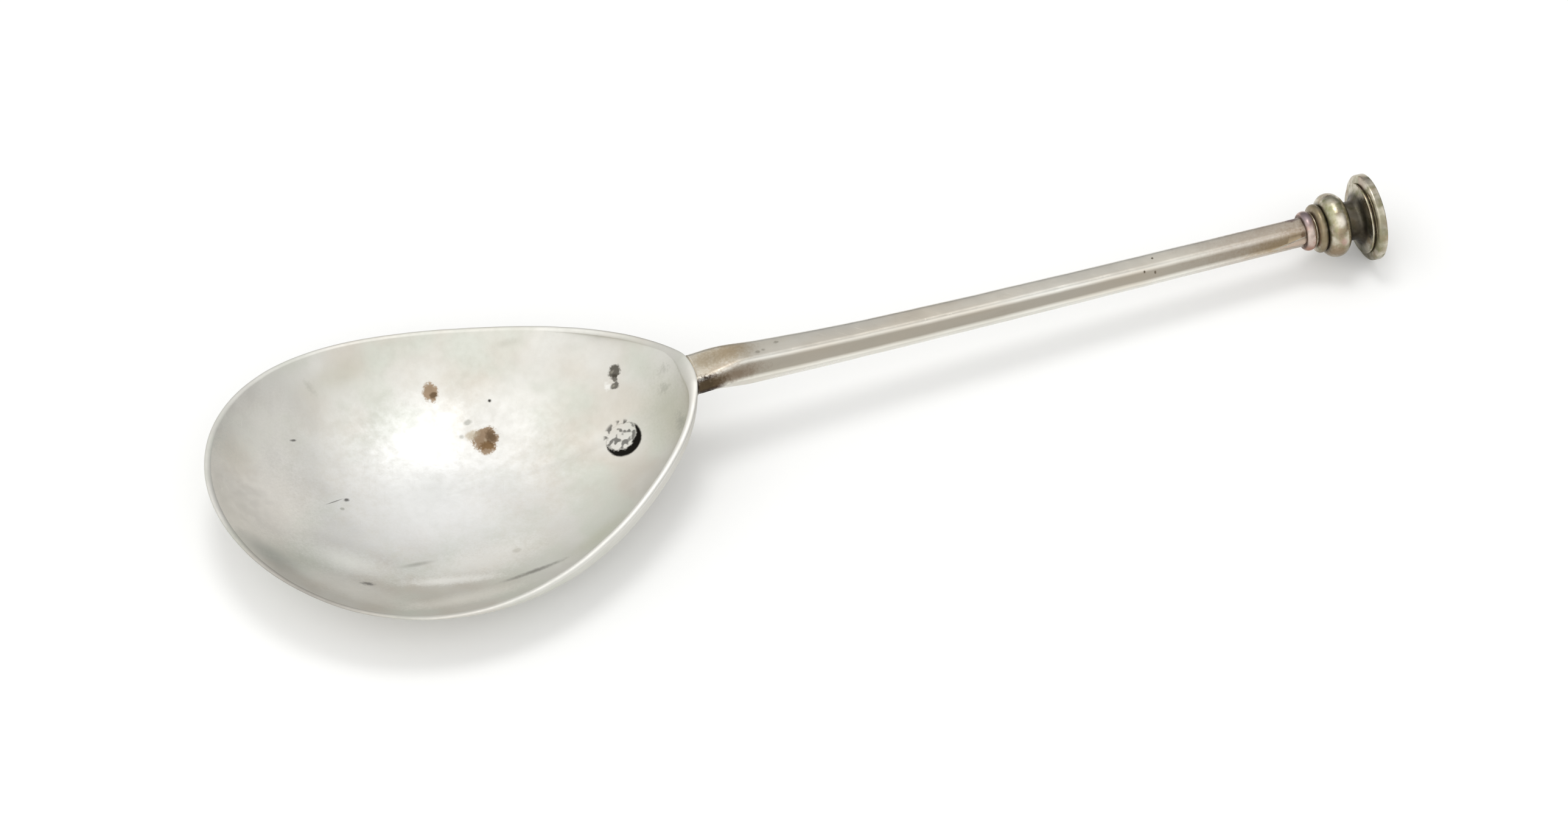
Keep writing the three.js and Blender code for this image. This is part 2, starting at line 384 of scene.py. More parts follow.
class Bench:
    """Lays out the nodes of a material or of the world."""

    def __init__(self, owner: Finish | bpy.types.World) -> None:
        """Starts the node tree of its owner, with its coordinates at hand.

        Args:
            owner: The material or the world.
        """
        owner.use_nodes = True
        self.owner = owner
        self.tree = owner.node_tree
        source = "Object" if isinstance(owner, Finish) else "Generated"
        self.places = self.tree.nodes.new("ShaderNodeTexCoord").outputs[source]

    def fill(self, node: bpy.types.Node, inputs: Inputs) -> None:
        """Fills the inputs of a node.

        Args:
            node: The node.
            inputs: Sockets to link, or plain values to set, by input name or number.
        """
        for key, value in inputs.items():
            if isinstance(value, Socket):
                self.tree.links.new(value, node.inputs[key])
            else:
                node.inputs[key].default_value = value

    def node(self, kind: str, inputs: Inputs, **settings: object) -> bpy.types.Node:
        """Adds a node.

        Args:
            kind: Blender's name of the node's type.
            inputs: What fills its inputs.
            **settings: Properties of the node itself.

        Returns:
            The new node.
        """
        made = self.tree.nodes.new(kind)
        for key, value in settings.items():
            setattr(made, key, value)
        self.fill(made, inputs)
        return made

    def local(self, centre: Triple, size: Triple, turn: Triple = (0.0, 0.0, 0.0)) -> Socket:
        """Coordinates of a place on the piece.

        Args:
            centre: Place in millimetres.
            size: Millimetres along each axis that count as one.
            turn: Turn of the axes in degrees.

        Returns:
            The coordinates.
        """
        inputs = {
            "Vector": self.places,
            "Location": [value * METRES for value in centre],
            "Rotation": [math.radians(value) for value in turn],
            "Scale": [value * METRES for value in size],
        }
        return self.node("ShaderNodeMapping", inputs, vector_type="TEXTURE").outputs["Vector"]

    def noise(
        self, size: float, detail: float, rough: float, where: Socket | None = None
    ) -> Socket:
        """Noise with features of about one size.

        Args:
            size: Size in millimetres, or in the units of where.
            detail: Layers of finer noise.
            rough: How strong each layer is against the one before.
            where: Coordinates that it follows, if not those of the piece.

        Returns:
            Values that lie round 0.5.
        """
        scale = 1.0 / size if where else 1.0 / (size * METRES)
        inputs = {"Vector": where or self.places, "Scale": scale}
        inputs |= {"Detail": detail, "Roughness": rough}
        return self.node("ShaderNodeTexNoise", inputs).outputs["Fac"]

    def ramp(
        self, value: Socket, low: float, high: float, start: float = 0.0, end: float = 1.0
    ) -> Socket:
        """Maps values between low and high smoothly on to start and end, and holds them there."""
        inputs = {"Value": value, "From Min": low, "From Max": high, "To Min": start, "To Max": end}
        return self.node("ShaderNodeMapRange", inputs, interpolation_type="SMOOTHSTEP").outputs[0]

    def sum(self, operation: str, first: object, second: object) -> Socket:
        """One sum on sockets or numbers."""
        return self.node("ShaderNodeMath", {0: first, 1: second}, operation=operation).outputs[0]

    def swing(self, noise: Socket, middle: float, size: float) -> Socket:
        """Noise that swings about nothing: less its middle value, times a size."""
        return self.sum("MULTIPLY", self.sum("SUBTRACT", noise, middle), size)

    def add_where(self, total: Socket, share: Socket, amount: float) -> Socket:
        """Adds an amount to a total, times a share from 0 to 1."""
        return self.sum("ADD", total, self.sum("MULTIPLY", share, amount))

    def blend(self, share: Socket, first: Socket | Colour, second: Socket | Colour) -> Socket:
        """Mixes two colours.

        Args:
            share: Share of the second colour.
            first: The first colour.
            second: The second colour.

        Returns:
            The mixed colour.
        """
        inputs = {0: share}
        for key, value in ((6, first), (7, second)):
            inputs[key] = value if isinstance(value, Socket) else (*value, 1.0)
        return self.node("ShaderNodeMix", inputs, data_type="RGBA").outputs[2]

    def attribute(self, name: str) -> Socket:
        """A number that the mesh carries for each point."""
        return self.node("ShaderNodeAttribute", {}, attribute_name=name).outputs["Fac"]

    def length(self, vector: Socket) -> Socket:
        """Length of a vector."""
        return self.node("ShaderNodeVectorMath", {0: vector}, operation="LENGTH").outputs["Value"]

    def bump(self, height: Socket, depth: float, under: Socket | None = None) -> Socket:
        """Bump from a height of 0 to 1.

        Args:
            height: The height.
            depth: Depth in millimetres that a height of 1 stands for.
            under: Normal of a bump that lies under it.

        Returns:
            The normal.
        """
        inputs = {"Height": height, "Strength": 1.0, "Distance": depth * METRES}
        if under is not None:
            inputs["Normal"] = under
        return self.node("ShaderNodeBump", inputs).outputs["Normal"]


class MetalBench(Bench):
    """Lays out the nodes of a metal, with noise of two sizes that all its marks share."""

    def __init__(self, name: str) -> None:
        """Starts a material with a bare metallic shader.

        Args:
            name: Name of the material.
        """
        super().__init__(bpy.data.materials.new(name))
        self.shader = self.tree.nodes["Principled BSDF"]
        self.fill(self.shader, {"Metallic": 1.0})
        self.coarse = self.noise(1.3, detail=4.0, rough=0.6)
        self.fine = self.noise(0.35, detail=3.0, rough=0.6)

    def finish(self, colour: Socket, roughness: Socket, normal: Socket) -> Finish:
        """Joins colour, roughness and normal to the shader and gives back the material."""
        self.fill(self.shader, {"Base Color": colour, "Roughness": roughness, "Normal": normal})
        return self.owner


@dataclass(frozen=True)
class Patch:
    """A ragged patch of another colour on a metal: a stain, a scratch, a worn spot, a painted
    highlight or a painted shade.

    It is an ellipsoid in millimetres, turned by yaw and pitch in degrees. Soft is the share of its
    reach over which it fades, and dull is what it adds to the roughness.
    """

    centre: Triple
    size: Triple
    colour: Colour
    strength: float
    yaw: float = 0.0
    ragged: float = 0.3
    soft: float = 0.9
    dull: float = 0.15
    pitch: float = 0.0

    def mask(self, bench: MetalBench) -> Socket:
        """The patch, whose edge noise of two sizes moves in and out.

        Args:
            bench: The material's bench.

        Returns:
            Its strength in its middle, and 0 beyond its edge.
        """
        reach = bench.length(bench.local(self.centre, self.size, (0.0, self.pitch, self.yaw)))
        uneven = bench.sum("ADD", bench.coarse, bench.fine)
        shift = bench.swing(uneven, 1.0, self.ragged * RAGGED_REACH)
        edge = bench.ramp(bench.sum("ADD", reach, shift), 1.0, 1.0 - self.soft)
        return bench.sum("MULTIPLY", edge, self.strength)


def painted_light(
    centre: Triple, size: Triple, colour: Colour, strength: float, yaw: float = 0.0, **edge: float
) -> Patch:
    """A broad soft patch of painted light in the bowl, as polished as the metal round it."""
    return Patch(centre, size, colour, strength, yaw, **{"dull": 0.0, **edge})


def mark(
    centre: Triple, length: float, width: float, colour: Colour, strength: float, yaw: float = 0.0,
    ragged: float = 0.5, soft: float = 0.6, depth: float = 4.0, pitch: float = 0.0
) -> Patch:
    """A small stain, scratch, pit or spot of painted shade, which reaches deep enough to meet a
    sloping wall.
    """
    size = (length, width, depth)
    return Patch(centre, size, colour, strength, yaw, ragged, soft, pitch=pitch)


@dataclass(frozen=True)
class RoundPunch:
    """A worn round mark: a sunk disc with a worn relief, and a dark crescent on one side, where
    tarnish gathers and painted shade lies.
    """

    centre: Triple
    turn: Triple
    radius: float
    shift: Triple = (-0.08, 0.34, 0.0)
    dark: Colour = (0.02, 0.018, 0.015)
    edge: Pair = (1.0, 0.9)
    edge_swing: float = 0.16
    bite: Pair = (0.76, 0.92)
    bite_swing: float = 0.5
    relief: Pair = (0.49, 0.6)
    relief_edge: Pair = (0.95, 0.75)
    relief_strength: float = 0.62
    dull: float = 0.3
    depth: float = 0.12

    def press(self, bench: MetalBench) -> tuple[Socket, Socket]:
        """Works out where the mark is dark and where it is sunk.

        Args:
            bench: The material's bench.

        Returns:
            The dark mask and the sunk mask.
        """
        where = bench.local(self.centre, (self.radius, self.radius, self.radius), self.turn)
        wobble = bench.swing(bench.coarse, 0.5, self.edge_swing)
        disc = bench.ramp(bench.sum("ADD", bench.length(where), wobble), *self.edge)
        lifted = bench.node("ShaderNodeVectorMath", {0: where, 1: self.shift}, operation="SUBTRACT")
        away = bench.length(lifted.outputs[0])
        crumbs = bench.noise(0.3, detail=2.0, rough=0.5, where=where)
        bitten = bench.swing(crumbs, 0.5, self.bite_swing)
        beyond = bench.ramp(bench.sum("ADD", away, bitten), *self.bite)
        # The crescent: tarnish and painted shade on one side of the mark
        crescent = bench.sum("MULTIPLY", disc, beyond)
        crests = bench.ramp(bench.noise(0.4, detail=1.0, rough=0.5, where=where), *self.relief)
        within = bench.sum("MULTIPLY", crests, bench.ramp(away, *self.relief_edge))
        relief = bench.sum("MULTIPLY", within, self.relief_strength)
        return bench.sum("MAXIMUM", crescent, relief), disc


@dataclass(frozen=True)
class Metal:
    """One metal finish: its clean and tarnished colours, its polish, its scratches and patches.

    The clouds are noise of the given size, and each band gives the values of noise between which
    something comes in. Dents is the depth of the fine unevenness in millimetres, and the broad one
    is some times deeper. Where the mesh carries a hollow value, the patina colour fills it: patina
    in the finial's hollows, patina and painted shade over its neck and capital, and painted shade
    on the stem's sides and the bowl's rim. Where the mesh says so, the bare colour shows: bare
    metal on the finial's wedge, and painted light on the bowl's rim and outer wall. The patches
    show where the limit attribute is 1.
    """

    name: str
    clean: Colour
    warm: Colour
    cool: Colour
    cloud: float
    polish: float
    worn: float
    hairs: float
    dents: float = 0.02
    stretch: float = 1.0
    patina: Colour = (0.1, 0.08, 0.06)
    bare_and_highlight: Colour | None = None
    limit: str | None = None
    patches: tuple[Patch, ...] = ()
    punches: tuple[RoundPunch, ...] = ()
    cool_shift: Triple = (31.0, 17.0, 9.0)
    cool_size: float = 0.7
    warm_band: Pair = (0.4, 0.66)
    cool_band: Pair = (0.44, 0.7)
    fleck_band: Pair = (0.45, 0.8)
    flecks: float = 0.12
    worn_band: Pair = (0.35, 0.65)
    dull_band: Pair = (0.35, 0.7)
    dull_specks: float = 0.06
    patina_loss: float = 0.88
    patina_dull: float = 0.2
    broad_dents: float = 4.0
    hair_band: Pair = (0.66, 0.76)
    hair_reach: float = 4.0
    hair_depth: float = 0.004
    hair_runs: tuple[Triple, ...] = ((24.0, 9.0, 0.1), (-38.0, 7.0, 0.08), (71.0, 6.0, 0.09))

    def scratches(self, bench: MetalBench) -> Socket:
        """Fine scratches: for each run's angle, noise drawn out to its length and width.

        Args:
            bench: The material's bench.

        Returns:
            1 in a scratch, and 0 beside it.
        """
        hairs = []
        for angle, length, width in self.hair_runs:
            size = (length, width, width * self.hair_reach)
            where = bench.local((0.0, 0.0, 0.0), size, (0.0, 0.0, angle))
            drawn = bench.noise(1.0, detail=2.0, rough=0.5, where=where)
            hairs.append(bench.ramp(drawn, *self.hair_band))
        return bench.sum("MAXIMUM", hairs[0], bench.sum("MAXIMUM", hairs[1], hairs[2]))

    def hold(self, bench: MetalBench, mask: Socket) -> Socket:
        """Holds a mask within the limit, where the metal has one."""
        return bench.sum("MULTIPLY", mask, bench.attribute(self.limit)) if self.limit else mask

    def material(self) -> Finish:
        """Builds the node material.

        Returns:
            The material.
        """
        bench = MetalBench(self.name)
        size = (self.cloud * self.stretch, self.cloud, self.cloud)
        finer = tuple(value * self.cool_size for value in size)
        warm, cool = bench.local((0.0, 0.0, 0.0), size), bench.local(self.cool_shift, finer)
        warmth = bench.noise(1.0, detail=3.0, rough=0.5, where=warm)
        coolness = bench.noise(1.0, detail=3.0, rough=0.5, where=cool)
        colour = bench.blend(bench.ramp(warmth, *self.warm_band), self.clean, self.warm)
        colour = bench.blend(bench.ramp(coolness, *self.cool_band), colour, self.cool)
        flecks = bench.ramp(bench.fine, *self.fleck_band, 0.0, self.flecks)
        colour = bench.blend(flecks, colour, self.warm)
        rough = bench.ramp(coolness, *self.worn_band, self.polish, self.worn)
        specks = bench.ramp(bench.coarse, *self.dull_band, 0.0, self.dull_specks)
        rough = bench.sum("ADD", rough, specks)
        for patch in self.patches:
            mask = self.hold(bench, patch.mask(bench))
            colour = bench.blend(mask, colour, patch.colour)
            rough = bench.add_where(rough, mask, patch.dull)
        # The patina colour where the mesh says: patina in the finial's hollows, patina and painted
        # shade over its neck and capital, painted shade on the stem's sides and the bowl's rim
        cleared = bench.ramp(warmth, *self.worn_band, 1.0, self.patina_loss)
        hollow = bench.sum("MULTIPLY", bench.attribute("hollow"), cleared)
        colour = bench.blend(hollow, colour, self.patina)
        rough = bench.add_where(rough, hollow, self.patina_dull)
        # The bare colour: bare metal on the finial's wedge, painted light on the bowl's rim and
        # outer wall
        if self.bare_and_highlight:
            colour = bench.blend(bench.attribute("bare_and_highlight"), colour, self.bare_and_highlight)
        normal = bench.bump(warmth, self.dents * self.broad_dents)
        normal = bench.bump(bench.coarse, self.dents, normal)
        normal = bench.bump(self.scratches(bench), -self.hair_depth * self.hairs, normal)
        for punch in self.punches:
            dark, sunk = (self.hold(bench, mask) for mask in punch.press(bench))
            colour = bench.blend(dark, colour, punch.dark)
            rough = bench.add_where(rough, dark, punch.dull)
            normal = bench.bump(sunk, -punch.depth, normal)
        return bench.finish(colour, rough, normal)


BROWN: Colour = (0.3, 0.19, 0.09)
UMBER: Colour = (0.16, 0.1, 0.05)
SOOT: Colour = (0.03, 0.025, 0.022)
INK: Colour = (0.1, 0.09, 0.07)
GREY: Colour = (0.37, 0.37, 0.33)
DRAB: Colour = (0.44, 0.42, 0.36)
OLIVE: Colour = (0.5, 0.5, 0.4)
PALE: Colour = (0.7, 0.7, 0.69)
# Bright metal: a painted highlight in the bowl, and the lighter spots of a stain and of the long
# punch
RUBBED_AND_HIGHLIGHT: Colour = (0.87, 0.87, 0.85)

BOWL_METAL = Metal(
    name="worn_silver_bowl",
    clean=(0.66, 0.65, 0.61),
    warm=(0.6, 0.57, 0.51),
    cool=(0.61, 0.62, 0.56),
    cloud=13.0,
    polish=0.55,
    worn=0.62,
    hairs=1.0,
    # Lighter colour of the painted light on the rim and the outer wall
    bare_and_highlight=(0.79, 0.78, 0.74),
    limit="inside",
    patches=(
        # Broad patches from the middle to the rim: the lighter ones are painted highlights and
        # painted reflections, the darker grey ones and the one by the heel painted shade, and the
        # other brownish and olive ones darker tones
        painted_light((-54.0, 0.0, 2.0), (25.0, 20.0, 9.0), PALE, 0.85, dull=-0.04),
        painted_light((-78.0, 4.0, 5.0), (12.0, 14.0, 20.0), (0.96, 0.93, 0.87), 0.85, ragged=0.2, soft=0.8),
        painted_light((-73.5, 15.0, 7.0), (9.5, 9.0, 9.0), (0.95, 0.93, 0.88), 0.45, ragged=0.2),
        painted_light((-51.0, -13.5, 2.5), (12.0, 4.5, 12.0), (0.84, 0.83, 0.79), 0.6),
        painted_light((-51.4, 10.0, 2.0), (9.5, 8.0, 6.0), RUBBED_AND_HIGHLIGHT, 0.6, ragged=0.15, soft=1.0, dull=-0.08),
        # Painted shade that dims the right side of the painted highlight
        Patch((-42.2, 8.0, 2.4), (7.5, 6.5, 8.0), (0.72, 0.71, 0.68), 0.65, ragged=0.2, soft=1.0),
        painted_light((-32.0, 19.5, 9.5), (38.0, 6.0, 10.0), (0.78, 0.78, 0.73), 0.3, ragged=0.2),
        painted_light((-81.4, 0.6, 9.2), (5.0, 17.0, 20.0), (0.95, 0.92, 0.85), 0.85, ragged=0.25),
        painted_light((-58.0, -21.0, 4.0), (15.0, 2.6, 4.0), (0.84, 0.82, 0.76), 0.7),
        # Painted shade inside the near wall, crossed by lighter painted reflections
        Patch((-78.4, -7.2, 7.5), (9.0, 3.0, 12.0), (0.36, 0.37, 0.34), 0.5, -50.0),
        painted_light((-67.6, -8.4, 3.4), (11.0, 3.8, 12.0), (0.93, 0.93, 0.89), 0.55, -37.0, soft=1.0),
        painted_light((-69.5, -14.5, 5.5), (13.0, 4.0, 12.0), (0.93, 0.92, 0.87), 0.4, -38.0),
        Patch((-62.0, -18.3, 3.5), (12.0, 3.0, 12.0), DRAB, 0.12, -14.0, 0.35),
        painted_light((-56.0, -15.6, 2.4), (9.5, 1.4, 12.0), (0.88, 0.87, 0.83), 0.8, -14.0),
        # Darker brownish and olive patches
        Patch((-77.0, 10.8, 7.6), (4.5, 6.0, 4.0), (0.6, 0.54, 0.46), 0.3, ragged=0.5),
        Patch((-59.5, 21.5, 5.0), (8.0, 3.0, 4.0), OLIVE, 0.3, 12.0, soft=1.0),
        Patch((-35.5, -17.0, 5.0), (8.5, 2.4, 4.0), OLIVE, 0.45, 22.0, soft=1.0),
        # Painted shade by the heel
        Patch((-20.5, -2.5, 9.5), (6.5, 10.0, 8.0), (0.5, 0.5, 0.42), 0.78, soft=1.0),
        # The two brown stains
        mark((-48.0, 16.1, 3.8), 1.15, 1.45, BROWN, 0.8, soft=0.35),
        mark((-47.7, 15.6, 3.6), 0.65, 0.55, UMBER, 0.7, soft=0.5),
        mark((-48.4, 15.1, 3.4), 0.32, 0.3, RUBBED_AND_HIGHLIGHT, 0.9, soft=0.9),
        mark((-43.2, 7.2, 1.9), 2.1, 1.9, BROWN, 0.82, soft=0.3),
        mark((-43.5, 5.8, 1.7), 1.2, 1.4, BROWN, 0.8, soft=0.4),
        mark((-42.4, 7.2, 2.0), 1.0, 1.4, UMBER, 0.6, soft=0.7),
        mark((-44.7, 8.4, 1.9), 1.4, 1.0, (0.56, 0.49, 0.38), 0.75, soft=0.7),
        mark((-43.3, 7.0, 1.8), 0.3, 0.5, (0.6, 0.52, 0.4), 0.7, soft=0.9),
        # Pits, scratches and streaks
        mark((-44.6, 10.4, 2.4), 0.75, 0.55, GREY, 0.5),
        mark((-46.1, 8.7, 1.8), 0.45, 0.45, GREY, 0.4),
        mark((-40.9, 12.1, 3.5), 0.34, 0.3, SOOT, 0.95, soft=0.8),
        mark((-68.1, 13.9, 4.3), 0.62, 0.26, SOOT, 0.7, soft=0.8),
        mark((-64.2, 3.4, 1.8), 0.5, 0.38, SOOT, 0.75, soft=0.8),
        mark((-65.9, 3.4, 2.1), 1.7, 0.12, SOOT, 0.6, 14.0, 0.3, 0.8),
        mark((-65.2, 2.0, 2.0), 0.4, 0.35, GREY, 0.6),
        mark((-63.5, 20.7, 5.9), 0.6, 1.7, GREY, 0.28, 20.0, 0.7, 1.0),
        mark((-66.7, -13.3, 3.8), 1.6, 0.6, SOOT, 0.6, -25.0, 0.8, 0.9),
        mark((-59.0, -10.7, 1.9), 3.4, 0.6, GREY, 0.6, -3.0, 0.4, 1.0),
        mark((-45.3, -18.7, 3.8), 6.2, 0.65, (0.15, 0.14, 0.12), 0.62, 3.0, 0.35, 1.0, pitch=-6.0),
        mark((-45.8, -13.3, 2.3), 0.8, 0.6, DRAB, 0.4),
        mark((-36.5, 17.7, 7.7), 3.2, 0.7, DRAB, 0.2, -12.0, 0.7, 1.0),
        mark((-19.1, 3.0, 11.0), 1.0, 1.0, GREY, 0.34, ragged=0.9, soft=1.0, depth=1.6),
        mark((-20.0, 0.8, 9.7), 1.2, 1.0, GREY, 0.34, ragged=0.9, soft=1.0, depth=1.6),
        mark((-19.7, -5.4, 9.7), 1.0, 2.2, GREY, 0.45, ragged=0.9, soft=1.0, depth=1.8),
        # The long worn punch
        mark((-24.6, 7.6, 7.9), 0.95, 1.05, INK, 0.9, soft=0.4),
        mark((-24.8, 6.7, 7.6), 0.4, 0.8, INK, 0.8, soft=0.5),
        mark((-25.1, 5.7, 7.2), 0.75, 0.6, (0.12, 0.11, 0.09), 0.85, soft=0.4),
        mark((-24.9, 7.7, 7.8), 0.4, 0.3, (0.4, 0.38, 0.32), 0.8, soft=0.8),
        mark((-25.3, 5.8, 7.1), 0.3, 0.25, (0.45, 0.43, 0.36), 0.8, soft=0.8),
        mark((-26.0, 6.3, 6.8), 0.6, 0.9, RUBBED_AND_HIGHLIGHT, 0.6, ragged=0.8, soft=0.9),
    ),
    punches=(RoundPunch((-26.7, -2.2, 5.3), (0.0, -22.0, 0.0), 2.7),),
)

ROOT_STAINS_AND_SHADE = (
    Patch((-10.9, 0.6, 14.2), (6.5, 3.2, 1.6), (0.4, 0.31, 0.19), 0.85),
    Patch((-14.6, 0.4, 14.2), (4.2, 3.8, 2.4), (0.43, 0.37, 0.27), 0.85, soft=0.8),
    Patch((-10.5, -2.6, 12.8), (6.5, 1.0, 1.8), (0.3, 0.22, 0.17), 0.8, ragged=0.4),
    Patch((-13.4, -1.7, 13.9), (4.5, 1.1, 1.2), (0.62, 0.54, 0.44), 0.8, ragged=0.4),
    # Near-black painted shade in the corner where the stem's near side meets the bowl
    Patch((-14.2, -2.8, 12.4), (3.2, 1.5, 1.9), (0.07, 0.04, 0.032), 1.0, ragged=0.35, soft=0.8),
    mark((-15.3, -2.9, 12.2), 1.8, 1.5, (0.03, 0.02, 0.018), 0.97, depth=2.2),
)

STEM_METAL = Metal(
    name="polished_silver_stem",
    clean=(0.86, 0.85, 0.79),
    warm=(0.76, 0.71, 0.62),
    cool=(0.78, 0.76, 0.69),
    cloud=5.0,
    polish=0.24,
    worn=0.34,
    hairs=0.8,
    dents=0.012,
    stretch=5.0,
    # The brown of the painted shade on the stem's sides
    patina=(0.17, 0.125, 0.07),
    patches=ROOT_STAINS_AND_SHADE
    + (
        mark((-7.0, -0.6, 13.6), 0.5, 0.35, GREY, 0.7, depth=0.6),
        mark((-6.1, -0.4, 13.5), 0.4, 0.3, GREY, 0.6, depth=0.6),
        mark((-3.9, 0.5, 13.2), 0.5, 0.3, GREY, 0.7, depth=0.6),
        mark((50.6, 0.2, 9.5), 0.24, 0.22, SOOT, 0.9, depth=0.5),
        mark((48.8, -1.5, 9.2), 0.22, 0.22, SOOT, 0.9, depth=0.5),
        mark((50.3, -1.7, 8.7), 0.22, 0.22, SOOT, 0.8, depth=0.5),
        Patch((67.0, 0.0, 7.0), (17.0, 6.0, 6.0), (0.5, 0.41, 0.33), 0.75, soft=0.95),
        Patch((72.0, -1.0, 7.0), (5.5, 3.5, 3.0), (0.32, 0.23, 0.16), 0.75, ragged=0.4, soft=0.95),
        Patch((69.5, -1.9, 7.5), (8.5, 1.3, 1.6), (0.5, 0.4, 0.27), 0.95, soft=0.8),
        mark((72.2, -1.7, 7.4), 0.6, 1.4, (0.2, 0.12, 0.08), 0.8, depth=1.6),
        mark((71.5, 1.2, 8.4), 1.2, 1.0, (0.2, 0.14, 0.15), 0.8, depth=0.8),
    ),
)

COLLAR_METAL = Metal(
    name="coppery_collar",
    clean=(0.56, 0.46, 0.4),
    warm=(0.44, 0.29, 0.24),
    cool=(0.38, 0.31, 0.28),
    cloud=1.8,
    polish=0.2,
    worn=0.32,
    hairs=0.5,
    patina=(0.04, 0.022, 0.016),
    patches=(
        Patch((73.2, 0.2, 9.4), (2.2, 2.8, 1.5), (0.24, 0.19, 0.2), 0.9),
        Patch((73.2, -2.6, 5.2), (2.0, 2.0, 1.8), (0.42, 0.2, 0.13), 0.85),
    ),
)

GILT_METAL = Metal(
    name="rubbed_gilding",
    clean=(0.58, 0.54, 0.44),
    warm=(0.34, 0.27, 0.18),
    cool=(0.26, 0.25, 0.15),
    cloud=2.0,
    polish=0.2,
    worn=0.3,
    hairs=0.6,
    patina=(0.022, 0.016, 0.009),
    bare_and_highlight=(0.5, 0.4, 0.32),
    patches=(
        # Painted reflection: a dark band over the bead
        Patch((74.8, 0.0, 6.5), (1.0, 8.5, 8.5), (0.24, 0.19, 0.115), 0.85, soft=0.6),
        Patch((76.4, -1.0, 9.8), (1.0, 3.4, 3.0), (0.3, 0.3, 0.15), 0.7, ragged=0.4),
        Patch((76.6, -4.2, 5.4), (2.0, 2.2, 2.6), (0.26, 0.18, 0.11), 0.8, ragged=0.4, soft=0.8),
        Patch((77.2, -4.3, 7.3), (0.8, 1.2, 0.8), (0.5, 0.33, 0.29), 0.6, ragged=0.4, soft=0.7),
        # Painted highlight on the upper near side of the knop
        Patch((77.3, -2.6, 9.9), (1.0, 1.4, 1.2), (0.8, 0.74, 0.64), 0.8, ragged=0.4),
        Patch((81.3, -2.0, 2.0), (2.0, 5.0, 3.0), (0.12, 0.11, 0.07), 0.85),
        mark((82.3, 1.5, 11.0), 1.0, 2.0, (0.6, 0.5, 0.45), 0.5, depth=1.2),
        Patch((82.4, -4.2, 9.6), (1.4, 3.0, 3.4), (0.34, 0.32, 0.23), 0.6, ragged=0.5),
        Patch((81.9, -5.4, 6.5), (1.6, 1.5, 2.4), (0.24, 0.23, 0.14), 0.8, ragged=0.5),
    ),
)

FILM_METAL = Metal(
    name="silver_solder",
    clean=(0.5, 0.46, 0.39),
    warm=(0.42, 0.36, 0.29),
    cool=(0.46, 0.43, 0.37),
    cloud=1.5,
    polish=0.34,
    worn=0.45,
    hairs=0.3,
    patches=ROOT_STAINS_AND_SHADE,
)

SOLDER_METAL = Metal(
    name="dull_solder",
    clean=(0.12, 0.1, 0.08),
    warm=(0.08, 0.06, 0.045),
    cool=(0.1, 0.09, 0.07),
    cloud=1.2,
    polish=0.45,
    worn=0.6,
    hairs=0.3,
)


# The pieces of the spoon


@dataclass(frozen=True)
class Stretch:
    """A stretch of the bowl's rim that differs from the rest, most of all in its middle."""

    strength: float
    middle: float
    reach: float

    def at(self, turn: Array) -> Array:
        """Strength round the rim: a bell curve of the turn."""
        return self.strength * bell(turn, self.middle, self.reach)


